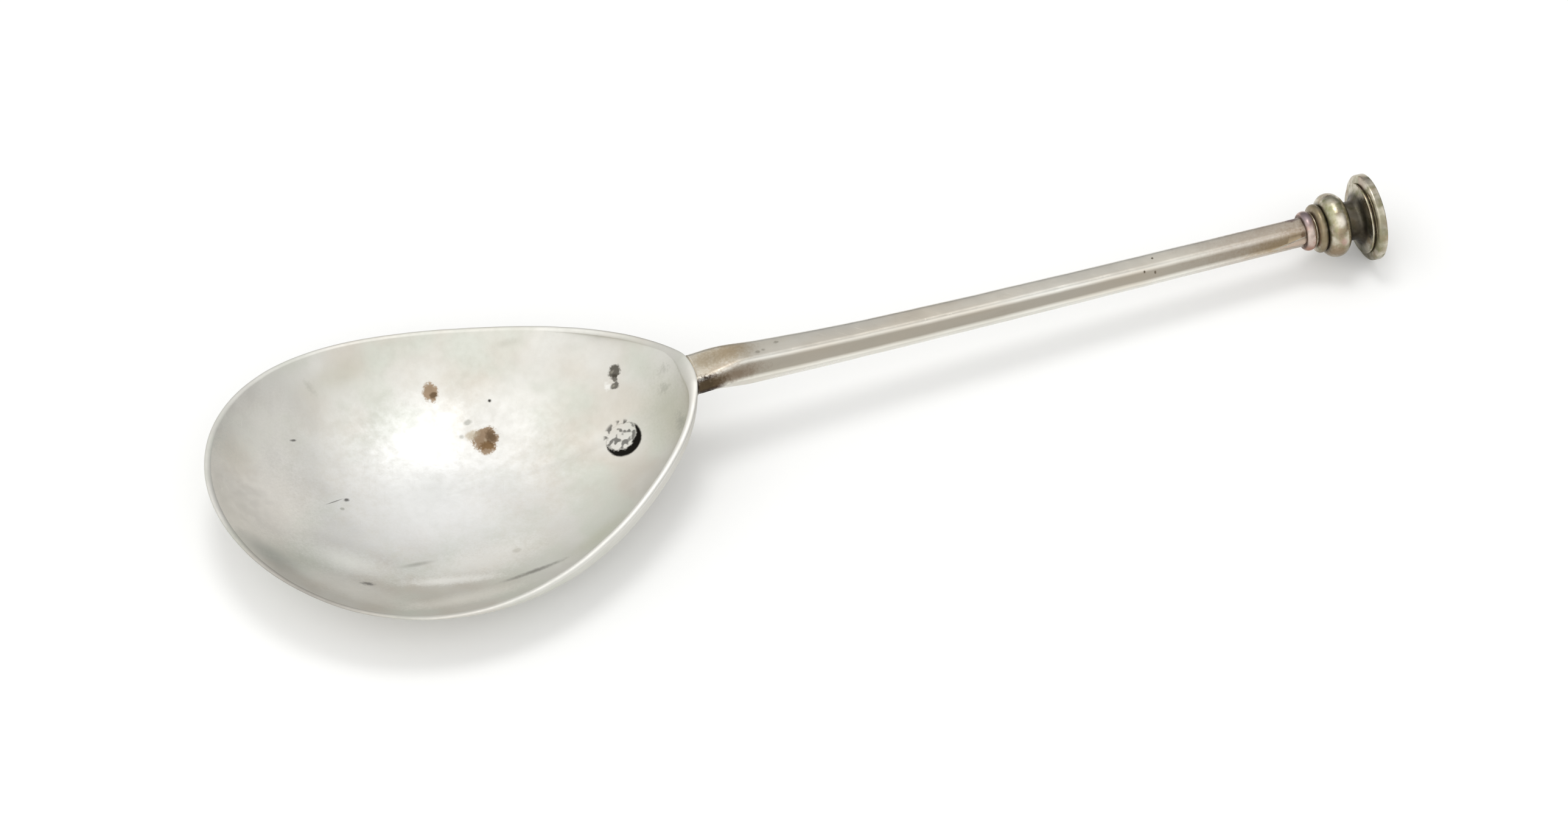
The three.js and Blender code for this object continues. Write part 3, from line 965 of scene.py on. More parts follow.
@dataclass
class Bowl:
    """The fig-shaped bowl, hammered from sheet, bowed a little to the near side and worn by use.

    The near edge of its tip is worn away, and the lip is thin there and along the far side.
    """

    tip: float = -83.35
    length: float = 67.4
    width: float = 51.4
    tip_fullness: float = 0.235
    heel_taper: float = 0.016
    side_bow: float = 1.3
    bow_shift: float = 1.3
    tip_lean: float = 0.5
    worn_in: Stretch = Stretch(1.0, 5.65, 0.62)
    deepest_share: float = 0.46
    worn_spot_share: float = 0.13
    wall_steepness: float = 2.6
    inside_steepness: float = 2.3
    heel_steepness: float = 1.9
    lean_power: float = 2.8
    near_lean_start: float = 1.0
    near_lean_run: float = 1.0
    far_lean_start: float = 0.3
    far_lean_run: float = 0.7
    heel_lean: Stretch = Stretch(1.0, 2.84, 0.7)
    floor_thickness: float = 1.1
    rim_at_heel: float = 12.1
    rim_at_tip: float = 10.6
    rim_dip: float = 3.3
    heel_rise: float = 1.3
    heel_rise_length: float = 2.0
    heel_level: float = 0.3
    rim_thickness: float = 1.0
    near_lip_worn: Stretch = Stretch(0.6, 5.55, 0.58)
    far_lip_worn: Stretch = Stretch(0.45, 1.3, 1.0)
    lip_rounding: float = 0.42
    least_rounding: float = 0.02
    stem_half_turn: float = 0.14
    stem_fade: float = 0.2
    heel_blend: Stretch = Stretch(1.0, math.pi, 0.2)
    heel_swell: float = 0.7
    heel_rounding: float = 1.2
    heel_fade: float = 8.0
    blows: Blows = ((0.035, 9.0, 3), (0.02, 4.0, 5))
    blow_free_foot: float = 2.0
    # Painted highlight along the near rim by the heel and painted light up the outer wall below it,
    # painted light on the far rim, and painted shade on the near rim by the tip and on the far rim
    # by the heel
    rim_highlight: Stretch = Stretch(1.0, 4.1, 0.9)
    wall_light: float = 0.5
    wall_light_height: float = 6.0
    far_rim_light: Stretch = Stretch(0.3, 1.5, 0.9)
    near_rim_shade: Stretch = Stretch(0.5, 5.65, 0.5)
    heel_rim_shade: Stretch = Stretch(0.22, 2.84, 0.35)
    crease: float = 60.0
    around: int = 384
    across: int = 64
    over_rim: int = 18
    rim_crowding: float = 1.6
    egg_steps: int = 721
    tangent_step: float = 1e-4
    wall_end: float = 0.99
    on_table: float = 1e-6

    @property
    def heel(self) -> float:
        """Place of the heel along the spoon."""
        return self.tip + self.length

    @property
    def centre(self) -> float:
        """Place of the deepest point along the spoon."""
        return self.tip + self.length * self.deepest_share

    def egg(self, turn: Array) -> Array:
        """Half width before scaling: a sine, fuller near the tip and finer near the heel."""
        fuller = self.tip_fullness * np.cos(turn)
        return np.sin(turn) * (1.0 + fuller - self.heel_taper * np.cos(2.0 * turn))

    def outline(self, turn: Array) -> Array:
        """Plan of the rim: an egg bowed to the near side, whose worn edge is drawn inwards.

        Args:
            turn: Turns round the bowl.

        Returns:
            x and y in millimetres in the last axis.
        """
        widest = self.egg(np.linspace(0.0, np.pi, self.egg_steps)).max()
        share = (1.0 - np.cos(turn)) / 2.0
        bow = self.side_bow * np.sin(np.pi * share**self.bow_shift) ** 2
        across = self.egg(turn) / widest * self.width / 2.0
        across = across + self.tip_lean * (1.0 - share) ** 2 - bow
        edge = np.stack([self.tip + self.length * share, across], axis=-1)
        inward = unit(np.array([self.centre, 0.0]) - edge)
        return edge + inward * self.worn_in.at(turn)[..., None]

    def outward(self, turn: Array) -> Array:
        """Level outward direction at the rim, from the outline on both sides of each point."""
        before, after = (self.outline(turn + side * self.tangent_step) for side in (-1.0, 1.0))
        return unit(after - before)[..., ::-1] * (-1.0, 1.0)

    def rim(self, turn: Array) -> Array:
        """Height of the rim: a line from heel to tip, less a parabola, plus a rise at the heel.

        Args:
            turn: Turns round the bowl.

        Returns:
            Heights in millimetres.
        """
        share = (1.0 + np.cos(turn)) / 2.0
        past = np.maximum(0.0, share * self.length - self.heel_level)
        rise = self.heel_rise * np.exp(-past / self.heel_rise_length)
        line = lerp(self.rim_at_heel, self.rim_at_tip, share)
        return line + rise - 4.0 * self.rim_dip * share * (1.0 - share)

    def lip(self, turn: Array) -> Array:
        """Thickness of the lip: worn thin in two stretches, and fuller at the heel."""
        worn = self.near_lip_worn.at(turn) + self.far_lip_worn.at(turn)
        return self.rim_thickness * (1.0 - worn) + self.heel_swell * self.heel_blend.at(turn)

    def outer_radius(self, turn: Array) -> Array:
        """Rounding of the rim's outer edge, which goes to nothing where the stem takes over."""
        past = smooth((np.abs(turn - math.pi) - self.stem_half_turn) / self.stem_fade)
        return self.lip_rounding * self.rim_thickness * past + self.least_rounding

    def inner_radius(self, turn: Array) -> Array:
        """Rounding of the rim's inner edge, which grows large at the heel."""
        at_lip = self.lip_rounding * self.lip(turn)
        return lerp(at_lip, self.heel_rounding, self.heel_blend.at(turn))

    def lean(self, turn: Array) -> Array:
        """How far the wall leans out: fully on the far side and round the tip, not by the heel.

        Args:
            turn: Turns round the bowl.

        Returns:
            Shares from 0 to 1: a smooth step up along the near side times one along the far side.
        """
        near = (turn - math.pi) % FULL_TURN
        on_near = smooth((near - self.near_lean_start) / self.near_lean_run)
        return on_near * smooth((FULL_TURN - near - self.far_lean_start) / self.far_lean_run)

    def profile(self, share: Array, steepness: Value, lean: Value) -> Array:
        """Rise of the wall: 1 less a root of 1 less the square, or a power where it leans."""
        steep = 1.0 - np.clip(1.0 - share * share, 0.0, 1.0) ** (1.0 / steepness)
        return lerp(steep, share**self.lean_power, lean)

    def spread(self, edge: Array, share: Array, height: Array) -> Array:
        """Points at a share of the way from the deepest point to an edge, at their heights."""
        x = self.centre + (edge[..., 0] - self.centre) * share
        return np.stack([x, edge[..., 1] * share, height], axis=-1)

    def back(self, share: Array, turn: Array, lower: Value = 0.0) -> Array:
        """Points on the back: the wall's rise past the worn spot, scaled to the rim's height.

        Args:
            share: Shares of the way from the deepest point to the rim.
            turn: Turns round the bowl.
            lower: How far below the rim the back ends.

        Returns:
            Points in millimetres.
        """
        lean = self.lean(turn)
        flat = self.profile(np.array(self.worn_spot_share), self.wall_steepness, lean)
        rise = np.maximum(0.0, self.profile(share, self.wall_steepness, lean) - flat) / (1.0 - flat)
        return self.spread(self.outline(turn), share, (self.rim(turn) - lower) * rise)

    def inside(self, share: Array, turn: Array) -> Array:
        """Points on the inside: the wall's rise above the floor, a lip's thickness within the rim.

        Args:
            share: Shares of the way from the deepest point to the rim.
            turn: Turns round the bowl.

        Returns:
            Points in millimetres.
        """
        at_heel = self.heel_blend.at(turn)
        near = at_heel * share**self.heel_fade
        swell = self.lip(turn) + self.heel_swell * (near - at_heel)
        edge = self.outline(turn) - self.outward(turn) * swell[..., None]
        steepness = lerp(self.inside_steepness, self.heel_steepness, near)
        lean = np.maximum(self.lean(turn), self.heel_lean.at(turn))
        depth = self.rim(turn) - self.inner_radius(turn) - self.floor_thickness
        height = self.floor_thickness + depth * self.profile(share, steepness, lean)
        return self.spread(edge, share, height)

    def grid(self) -> tuple[Array, Array]:
        """Shares from the middle to the rim, closer together near the rim, and turns all round.

        Returns:
            The shares and the turns, each as (across, around).
        """
        turn = np.linspace(0.0, FULL_TURN, self.around, endpoint=False)[None, :]
        step = np.linspace(0.0, 1.0, self.across + 1)[1:]
        share = np.sin(np.pi / 2.0 * (1.0 - (1.0 - step) ** self.rim_crowding))[:, None]
        return np.broadcast_arrays(share, turn)

    def crest(self) -> Array:
        """Rings over the rim: a cubic curve that leaves the back and meets the inside along them.

        Such a curve rises to three quarters of its handles.

        Returns:
            Points as (rings, around, 3).
        """
        turn = self.grid()[1][:1]
        below_and_at_edge = np.array([[self.wall_end], [1.0]])
        outer, inner = self.outer_radius(turn), self.inner_radius(turn)
        back = self.back(below_and_at_edge, turn, outer)
        corners = []
        for wall, reach in ((back, outer), (self.inside(below_and_at_edge, turn), inner)):
            up = unit(wall[1] - wall[0])
            corners += [wall[1], wall[1] + up * reach[0][:, None] / CUBIC_RISE]
        start, second, end, third = corners
        t = np.linspace(0.0, 1.0, self.over_rim)[1:-1, None, None]
        return bezier([start, second, third, end], t)

    def space(self, margin: float, ceiling: float = 40.0) -> Piece:
        """Body of the bowl and all above it, with its back moved outward, to cut the stem with.

        Args:
            margin: How far the back is moved out, in millimetres.
            ceiling: Height of its top.

        Returns:
            The cutting body.
        """
        share, turn = self.grid()
        rings = self.back(share, turn)
        along = np.gradient(rings, axis=0)
        around = (np.roll(rings, -1, axis=1) - np.roll(rings, 1, axis=1)) / 2.0
        normal = unit(np.cross(along, around))
        normal[rings[..., 2] < self.on_table] = (0.0, 0.0, -1.0)
        normal[-1, :, :2] = self.outward(turn[0])
        normal[-1, :, 2] = 0.0
        moved = rings + normal * margin
        top = moved[-1:].copy()
        top[..., 2] = ceiling
        return closed_mesh("bowl_space", np.concatenate([moved, top]), Ends.POLES, {})

    def make(self, finish: Finish) -> Piece:
        """Builds the bowl: up the back, over the rim and down the inside, with the hammer's dents.

        Args:
            finish: The bowl's metal.

        Returns:
            The new piece, which says where it is inside, and where painted shade and painted light
            lie on the rim and the outer wall.
        """
        share, turn = self.grid()
        back = self.back(share, turn, self.outer_radius(turn))
        crest = self.crest()
        rings = np.concatenate([back, crest, self.inside(share, turn)[::-1]])
        order = np.arange(len(rings))[:, None]
        on_back, on_inside = order < len(back), order >= len(back) + len(crest)
        on_crest = ~(on_back | on_inside)
        rim_turn = turn[:1]
        at_heel = self.heel_blend.at(rim_turn)
        hold = np.where(on_back, smooth(rings[..., 2] / self.blow_free_foot), 1.0) * (1.0 - at_heel)
        rings[..., 2] += hammered(rings, self.blows) * hold
        # Painted shade on the crest, in the patina's colour, and painted light on the crest and up
        # the outer wall
        dull = self.near_rim_shade.at(rim_turn) + self.heel_rim_shade.at(rim_turn)
        rim_highlight = self.rim_highlight.at(rim_turn)
        rim_light = np.maximum(rim_highlight, self.far_rim_light.at(rim_turn))
        wall = on_back * smooth(rings[..., 2] / self.wall_light_height)
        values = {
            "inside": on_inside + on_crest * at_heel,
            "hollow": on_crest * dull,
            "bare_and_highlight": on_crest * rim_light + self.wall_light * wall * rim_highlight,
        }
        return dress(closed_mesh("bowl_shell", rings, Ends.POLES, values), finish, self.crease)


@dataclass
class Finial:
    """The turned finial: collar, baluster and seal, on an axis that slopes down to the seal."""

    length_overall: float = 166.7
    pitch: float = 3.8
    collar_size: float = 5.5
    collar_length: float = 1.45
    groove_size: float = 4.6
    groove_length: float = 0.2
    bead_size: float = 6.8
    bead_length: float = 1.3
    crease_size: float = 6.0
    knop_size: float = 8.9
    knop_length: float = 3.35
    neck_size: float = 5.4
    neck_length: float = 1.35
    capital_size: float = 9.8
    capital_length: float = 1.3
    capital_edge: float = 0.3
    tenon_size: float = 1.8
    tenon_clearance: float = 0.1
    seal_size: float = 12.0
    seal_thickness: float = 1.35
    seal_rounding: float = 0.4
    seal_chamfer: float = 0.08
    solder: float = 0.14
    wedge_length: float = 4.5
    wedge_height: float = 1.6
    wedge_side: float = 8.0
    wedge_mouth: float = 0.5
    # Where patina and painted shade darken the neck and capital all over, and how much less on
    # their upper side
    dark_band_before: float = 0.7
    dark_band_after: float = 0.3
    dark_band_above: float = 0.85
    fine_hollow: tuple[int, float] = (10, 0.16)
    broad_hollow: tuple[int, float] = (30, 0.45)
    wear: float = 0.02
    baluster_wear: float = 0.03
    wear_length: float = 2.2
    wear_seed: int = 11
    wear_radius: float = 2.0
    least_radius: float = 0.5
    dark_band_fades: Pair = (0.5, 0.3)
    spacing: float = 0.05
    softening: float = 0.2
    seal_softening: float = 0.1
    cove_steps: int = 12
    bead_steps: int = 18
    knop_steps: int = 32
    collar_steps: int = 28
    bore_steps: int = 10
    crease: float = 50.0
    around: int = 160

    def __post_init__(self) -> None:
        """Works out the places along the axis, from the face of the seal back to the stem."""
        slope = math.radians(self.pitch)
        radius = self.seal_size / 2.0
        self.face_x = self.length_overall / 2.0 - (radius - self.seal_chamfer) * math.sin(slope)
        self.face_z = radius * math.cos(slope) - self.seal_chamfer * math.sin(slope)
        self.seal_back = -self.seal_thickness
        self.capital_end = self.seal_back - self.solder
        self.neck_end = self.capital_end - self.capital_length
        self.knop_end = self.neck_end - self.neck_length
        self.knop_start = self.knop_end - self.knop_length
        self.bead_start = self.knop_start - self.bead_length
        self.collar_end = self.bead_start - self.groove_length
        self.collar_start = self.collar_end - self.collar_length

    def place(self, points: Array) -> Array:
        """Takes points from the finial's own axes to the spoon's: a turn about y and a shift.

        Args:
            points: Points with x along the axis from the seal's face.

        Returns:
            The same points in the spoon's axes.
        """
        slope = math.radians(self.pitch)
        x, y, z = np.moveaxis(points, -1, 0)
        along = x * math.cos(slope) + z * math.sin(slope) + self.face_x
        up = z * math.cos(slope) - x * math.sin(slope) + self.face_z
        return np.stack([along, y, up], axis=-1)

    def turned(
        self, name: str, profile: Array, ends: Ends, wear: float, dark_band: Pair | None = None
    ) -> Piece:
        """Turns a profile about the axis, and marks how deep each point lies in a hollow.

        Args:
            name: Name of the piece.
            profile: Pairs of place and radius.
            ends: Whether the profile ends on the axis or closes on itself.
            wear: Height of the unevenness, in millimetres.
            dark_band: Places between which patina and painted shade fill the whole surface, if they
                do.

        Returns:
            The new object.
        """
        if ends is Ends.POLES:
            profile = profile[1:-1]
        angle = np.linspace(0.0, FULL_TURN, self.around, endpoint=False)[None, :]
        place, radius = profile[:, :1], profile[:, 1:]
        along = np.broadcast_to(place, (len(profile), self.around))
        body = np.stack([along, radius * np.sin(angle), -radius * np.cos(angle)], axis=-1)
        uneven = wear * waver(body, self.wear_length, self.wear_seed)
        fade = smooth(radius / self.wear_radius)
        body[..., 1:] *= (1.0 + uneven * fade / np.maximum(radius, self.least_radius))[..., None]
        fine, broad = hollows(profile, *self.fine_hollow), hollows(profile, *self.broad_hollow)
        depth = np.broadcast_to(np.maximum(fine, broad)[:, None], along.shape)
        # Patina and painted shade over the neck and capital, less on their upper side
        if dark_band:
            fades = self.dark_band_fades
            dark_share = smooth((place - dark_band[0]) / fades[0]) * smooth((dark_band[1] - place) / fades[1])
            depth = np.maximum(depth, dark_share * lerp(1.0, self.dark_band_above, smooth(-np.cos(angle))))
        return closed_mesh(name, self.place(body), ends, {"hollow": depth})

    def baluster_profile(self) -> Array:
        """Profile of tenon, bead, knop, neck and hollow capital.

        Returns:
            Pairs of place and radius.
        """
        hollow = self.capital_length - self.capital_edge
        flare = (self.capital_size - self.neck_size) / 2.0
        angle = np.linspace(0.0, np.pi / 2.0, self.cove_steps)
        place = self.neck_end + hollow * np.sin(angle)
        cove = np.stack([place, self.neck_size / 2.0 + flare * (1.0 - np.cos(angle))], axis=1)
        tenon, groove = self.tenon_size / 2.0, self.groove_size / 2.0
        start, end = self.collar_start, self.collar_end
        head = np.array([[start, 0.0], [start, tenon], [end, tenon], [end, groove]])
        sizes = (self.groove_size, self.crease_size, self.bead_size)
        bead = moulding(self.bead_start, self.knop_start, *sizes, self.bead_steps)
        sizes = (self.crease_size, self.neck_size, self.knop_size)
        knop = moulding(self.knop_start, self.knop_end, *sizes, self.knop_steps)
        foot = np.array([[self.capital_end, self.capital_size / 2.0], [self.capital_end, 0.0]])
        return np.concatenate([head, bead, knop[1:], cove, foot])

    def make_baluster(self, wedge: Piece, finish: Finish) -> Piece:
        """Builds the baluster with the wedge that holds it in the stem.

        Args:
            wedge: The wedge.
            finish: The finial's metal.

        Returns:
            The new piece.
        """
        profile = soften(self.baluster_profile(), self.spacing, self.softening)
        dark_band = (self.knop_end - self.dark_band_before, self.capital_end - self.dark_band_after)
        body = self.turned("baluster_body", profile, Ends.POLES, self.baluster_wear, dark_band)
        return dress(join("baluster_turning", body, wedge), finish, self.crease)

    def make_collar(self, finish: Finish) -> Piece:
        """Builds the ring moulding that sits on the tenon.

        Args:
            finish: The collar's metal.

        Returns:
            The new piece.
        """
        bore = self.tenon_size / 2.0 + self.tenon_clearance
        sizes = (self.groove_size, self.groove_size, self.collar_size)
        crown = moulding(self.collar_start, self.collar_end, *sizes, self.collar_steps)
        place = np.linspace(self.collar_end, self.collar_start, self.bore_steps)
        profile = np.concatenate([crown, np.stack([place, np.full_like(place, bore)], axis=1)])
        return dress(self.turned("collar_ring", profile, Ends.LOOP, self.wear), finish, self.crease)

    def make_seal(self, finish: Finish) -> Piece:
        """Builds the flat round seal, with a domed shoulder at its back and a plain face.

        Args:
            finish: The seal's metal.

        Returns:
            The new piece.
        """
        radius, seat = self.seal_size / 2.0, self.capital_size / 2.0
        angle = np.linspace(0.0, np.pi / 2.0, self.cove_steps)
        place = self.seal_back + self.seal_rounding * (1.0 - np.cos(angle))
        shoulder = np.stack([place, seat + (radius - seat) * np.sin(angle)], axis=1)
        face = [[-self.seal_chamfer, radius], [0.0, radius - self.seal_chamfer], [0.0, 0.0]]
        profile = np.concatenate([[[self.seal_back, 0.0]], shoulder, face])
        profile = soften(profile, self.spacing, self.seal_softening)
        disc = self.turned("seal_disc", profile, Ends.POLES, self.wear)
        return dress(disc, finish, self.crease)

    def wedge_space(self, margin: float) -> Piece:
        """Wedge-shaped body on the axis, with its faces moved outward, to cut the stem with.

        Args:
            margin: How far its faces are moved out, in millimetres.

        Returns:
            The cutting body.
        """
        slope = self.wedge_height / 2.0 / self.wedge_length
        tip = self.collar_start - self.wedge_length - margin * math.hypot(1.0, slope) / slope
        mouth = self.collar_start + self.wedge_mouth
        half = (mouth - tip) * slope
        ends = [
            [[tip, side, 0.0], [mouth, side, -half], [mouth, side, half]]
            for side in (-self.wedge_side, self.wedge_side)
        ]
        return closed_mesh("wedge_space", self.place(np.array(ends)), Ends.POLES, {})


@dataclass
class Stem:
    """The tapering hexagonal bar, with its tongue under the heel and its notched end.

    Each of its six sides, from the upper far one over the top and round, has its own share of
    painted shade, darker and duller.
    """

    bowl: Bowl
    finial: Finial
    root_width: float = 5.2
    end_width: float = 4.4
    root_thickness: float = 4.5
    end_thickness: float = 3.6
    root_flat: float = 2.7
    end_flat: float = 2.4
    root_height: float = 10.3
    flare_width: float = 1.2
    flare_flat: float = 1.2
    flare_thickness: float = 1.1
    flare_lift: float = 2.0
    flare_length: float = 16.0
    seat_width: float = 6.6
    seat_flat: float = 5.0
    seat_foot: float = 2.8
    seat_fairing: float = 8.0
    end_fairing: float = 4.0
    tongue_length: float = 9.6
    tongue_tip_width: float = 1.2
    tongue_tip_flat: float = 0.7
    tongue_tip_drop: float = 0.5
    tongue_root_drop: float = 1.4
    tongue_steps: int = 40
    tongue_crowding: float = 1.5
    bar_steps: int = 220
    bar_crowding: float = 1.2
    heel_solder: float = 0.2
    wedge_solder: float = 0.14
    clearance: float = 0.006
    arris: float = 0.62
    arris_share: float = 0.4
    arris_steps: int = 7
    blows: Blows = ((0.03, 7.0, 21), (0.015, 2.5, 22))
    blows_start: float = -10.0
    blows_end: float = 66.0
    blows_fade: float = 6.0
    side_shade: tuple[float, ...] = (0.6, 0.4, 0.64, 0.0, 0.3, 0.2)
    crease: float = 40.0

    @property
    def end(self) -> Array:
        """Middle of the bar's end, where the collar starts."""
        return self.finial.place(np.array([self.finial.collar_start, 0.0, 0.0]))

    def taper(self, x: Array) -> Array:
        """Middle height, thickness, width, flat and foot of the bar: straight tapers and a flare.

        Args:
            x: Places along the spoon.

        Returns:
            The five sizes as (5, places).
        """
        share = (x - self.bowl.heel) / (self.end[0] - self.bowl.heel)
        flare = np.exp(-(x - self.bowl.heel) / self.flare_length)
        root = (self.root_height, self.root_thickness, self.root_width, self.root_flat)
        end = (self.end[2], self.end_thickness, self.end_width, self.end_flat)
        more = (self.flare_lift, self.flare_thickness, self.flare_width, self.flare_flat)
        sizes = [lerp(*pair, share) + flared * flare for *pair, flared in zip(root, end, more)]
        return np.stack([*sizes, sizes[-1]])

    def sections(self) -> Array:
        """Stations of the whole bar: the tongue under the bowl, then the run from heel to collar.

        Returns:
            x, middle height, thickness, width, flat, foot and lean as (7, stations).
        """
        heel, end = self.bowl.heel, self.end[0]
        rim = float(self.bowl.rim(np.array(np.pi)))
        middle, thickness, *_ = self.taper(np.array([heel]))
        seat_bottom = float(middle[0] - thickness[0] / 2.0)
        share = (1.0 - np.linspace(0.0, 1.0, self.tongue_steps)[:-1]) ** self.tongue_crowding
        x = heel - self.tongue_length * share
        outward = (x - self.bowl.centre) / (heel - self.bowl.centre)
        drop = lerp(self.tongue_root_drop, self.tongue_tip_drop, share)
        below = self.bowl.back(outward, np.full_like(outward, np.pi))[:, 2] - drop
        bottom = np.minimum(below, seat_bottom)
        width = lerp(self.seat_width, self.tongue_tip_width, share)
        flat = lerp(self.seat_flat, self.tongue_tip_flat, share)
        foot = lerp(self.seat_foot, self.tongue_tip_flat, share)
        level = np.zeros_like(x)
        tongue = np.stack([x, (rim + bottom) / 2.0, rim - bottom, width, flat, foot, level])
        height, middle = rim - seat_bottom, (rim + seat_bottom) / 2.0
        seat = np.array([[middle], [height], [self.seat_width], [self.seat_flat], [self.seat_foot]])
        run = heel + (end - heel) * np.linspace(0.0, 1.0, self.bar_steps) ** self.bar_crowding
        sizes = lerp(seat, self.taper(run), smooth((run - heel) / self.seat_fairing))
        lean = smooth((run - end + self.end_fairing) / self.end_fairing)
        return np.concatenate([tongue, np.concatenate([run[None], sizes, lean[None]])], axis=1)

    def bar(self) -> Piece:
        """The bar before it is cut: hexagons whose arrises are rounded by quadratic curves.

        Returns:
            The bar, which says how much painted shade lies on each side; its arrises are left
            without it, so they show bright.
        """
        x, middle, thickness, width, flat, foot, lean = self.sections()
        level = np.zeros_like(x)
        across = np.stack([width, flat, -flat, -width, -foot, foot], axis=1) / 2.0
        high = np.stack([level, thickness, thickness, level, -thickness, -thickness], axis=1) / 2.0
        corners = np.stack([across, high], axis=-1)
        before = np.roll(corners, 1, axis=1) - corners
        after = np.roll(corners, -1, axis=1) - corners
        shorter = np.minimum(np.linalg.norm(before, axis=-1), np.linalg.norm(after, axis=-1))
        reach = np.minimum(self.arris, self.arris_share * shorter)[..., None]
        t = np.linspace(0.0, 1.0, self.arris_steps)[:, None]
        ends = (corners + unit(before) * reach, corners, corners + unit(after) * reach)
        section = bezier([corner[:, :, None] for corner in ends], t).reshape(len(x), -1, 2)
        shift = math.sin(math.radians(self.finial.pitch)) * lean[:, None] * section[..., 1]
        upright = middle[:, None] + section[..., 1]
        rings = np.stack([x[:, None] + shift, section[..., 0], upright], axis=-1)
        hold = smooth((x - self.blows_start) / self.blows_fade)
        hold = hold * smooth((self.blows_end - x) / self.blows_fade)
        rings[..., 2] += hammered(rings, self.blows) * hold[:, None]
        # Painted shade for each side, which fades to nothing at the middle of each arris
        side = np.array(self.side_shade)[:, None]
        dull = lerp(np.roll(side, 1, axis=0), side, t[:, 0]) * np.abs(2.0 * t[:, 0] - 1.0)
        around = np.broadcast_to(dull.reshape(-1), rings.shape[:2])
        values = {"hollow": around, "bare_and_highlight": np.ones(rings.shape[:2])}
        return closed_mesh("stem_bar", rings, Ends.POLES, values)

    def make(self, finish: Finish) -> Piece:
        """Cuts the bar to the bowl's back and notches it for the finial's wedge.

        Args:
            finish: The stem's metal.

        Returns:
            The new piece.
        """
        stem = self.bar()
        cut(stem, self.bowl.space(self.heel_solder + 2.0 * self.clearance), Cut.AWAY)
        cut(stem, self.finial.wedge_space(self.wedge_solder + 2.0 * self.clearance), Cut.AWAY)
        return dress(stem, finish, self.crease)

    def make_wedge(self) -> Piece:
        """The wedge that the finial sends into the stem, with the bar's own section.

        Returns:
            The wedge.
        """
        wedge = self.bar()
        cut(wedge, self.finial.wedge_space(0.0), Cut.KEEP)
        return wedge

    def make_film(
        self, name: str, space: Callable[[float], Piece], thickness: float, finish: Finish
    ) -> Piece:
        """The solder in a joint: the bar within a thin skin on the body that it is soldered to.

        Args:
            name: Name of the piece.
            space: Gives that body, with its faces moved outward by a margin.
            thickness: Thickness of the solder.
            finish: The solder's metal.

        Returns:
            The new piece.
        """
        film = self.bar()
        cut(film, space(thickness + self.clearance), Cut.KEEP)
        cut(film, space(self.clearance), Cut.AWAY)
        film.name = name
        return dress(film, finish, self.crease)

    def make_heel_film(self, finish: Finish) -> Piece:
        """The solder between the bowl's back and the stem."""
        return self.make_film("heel_film", self.bowl.space, self.heel_solder, finish)

    def make_wedge_film(self, finish: Finish) -> Piece:
        """The solder in the stem's notch."""
        return self.make_film("wedge_film", self.finial.wedge_space, self.wedge_solder, finish)


# The table, the light and the camera


@dataclass(frozen=True)
class Softbox:
    """A soft round lamp that looks at the spoon."""

    name: str
    place: Triple
    size: float
    power: float

    def hang(self) -> None:
        """Puts the lamp into the scene."""
        data = bpy.data.lights.new(self.name, "AREA")
        data.shape = "DISK"
        data.size = self.size
        data.energy = self.power
        lamp = put(self.name, data)
        lamp.location = self.place
        lamp.rotation_mode = "QUATERNION"
        lamp.rotation_quaternion = Vector(self.place).to_track_quat("Z", "Y")


@dataclass(frozen=True)
class Glow:
    """A broad soft brightness of the room, strongest towards one way."""

    way: Triple
    strength: float
    low: float
    high: float

    def light(self, bench: Bench) -> Socket:
        """Strength for each direction: a smooth step on the cosine of its angle to the way.

        Args:
            bench: The world's bench.

        Returns:
            The strength.
        """
        inputs = {0: bench.places, 1: tuple(Vector(self.way).normalized())}
        along = bench.node("ShaderNodeVectorMath", inputs, operation="DOT_PRODUCT")
        return bench.ramp(along.outputs["Value"], self.low, self.high, 0.0, self.strength)


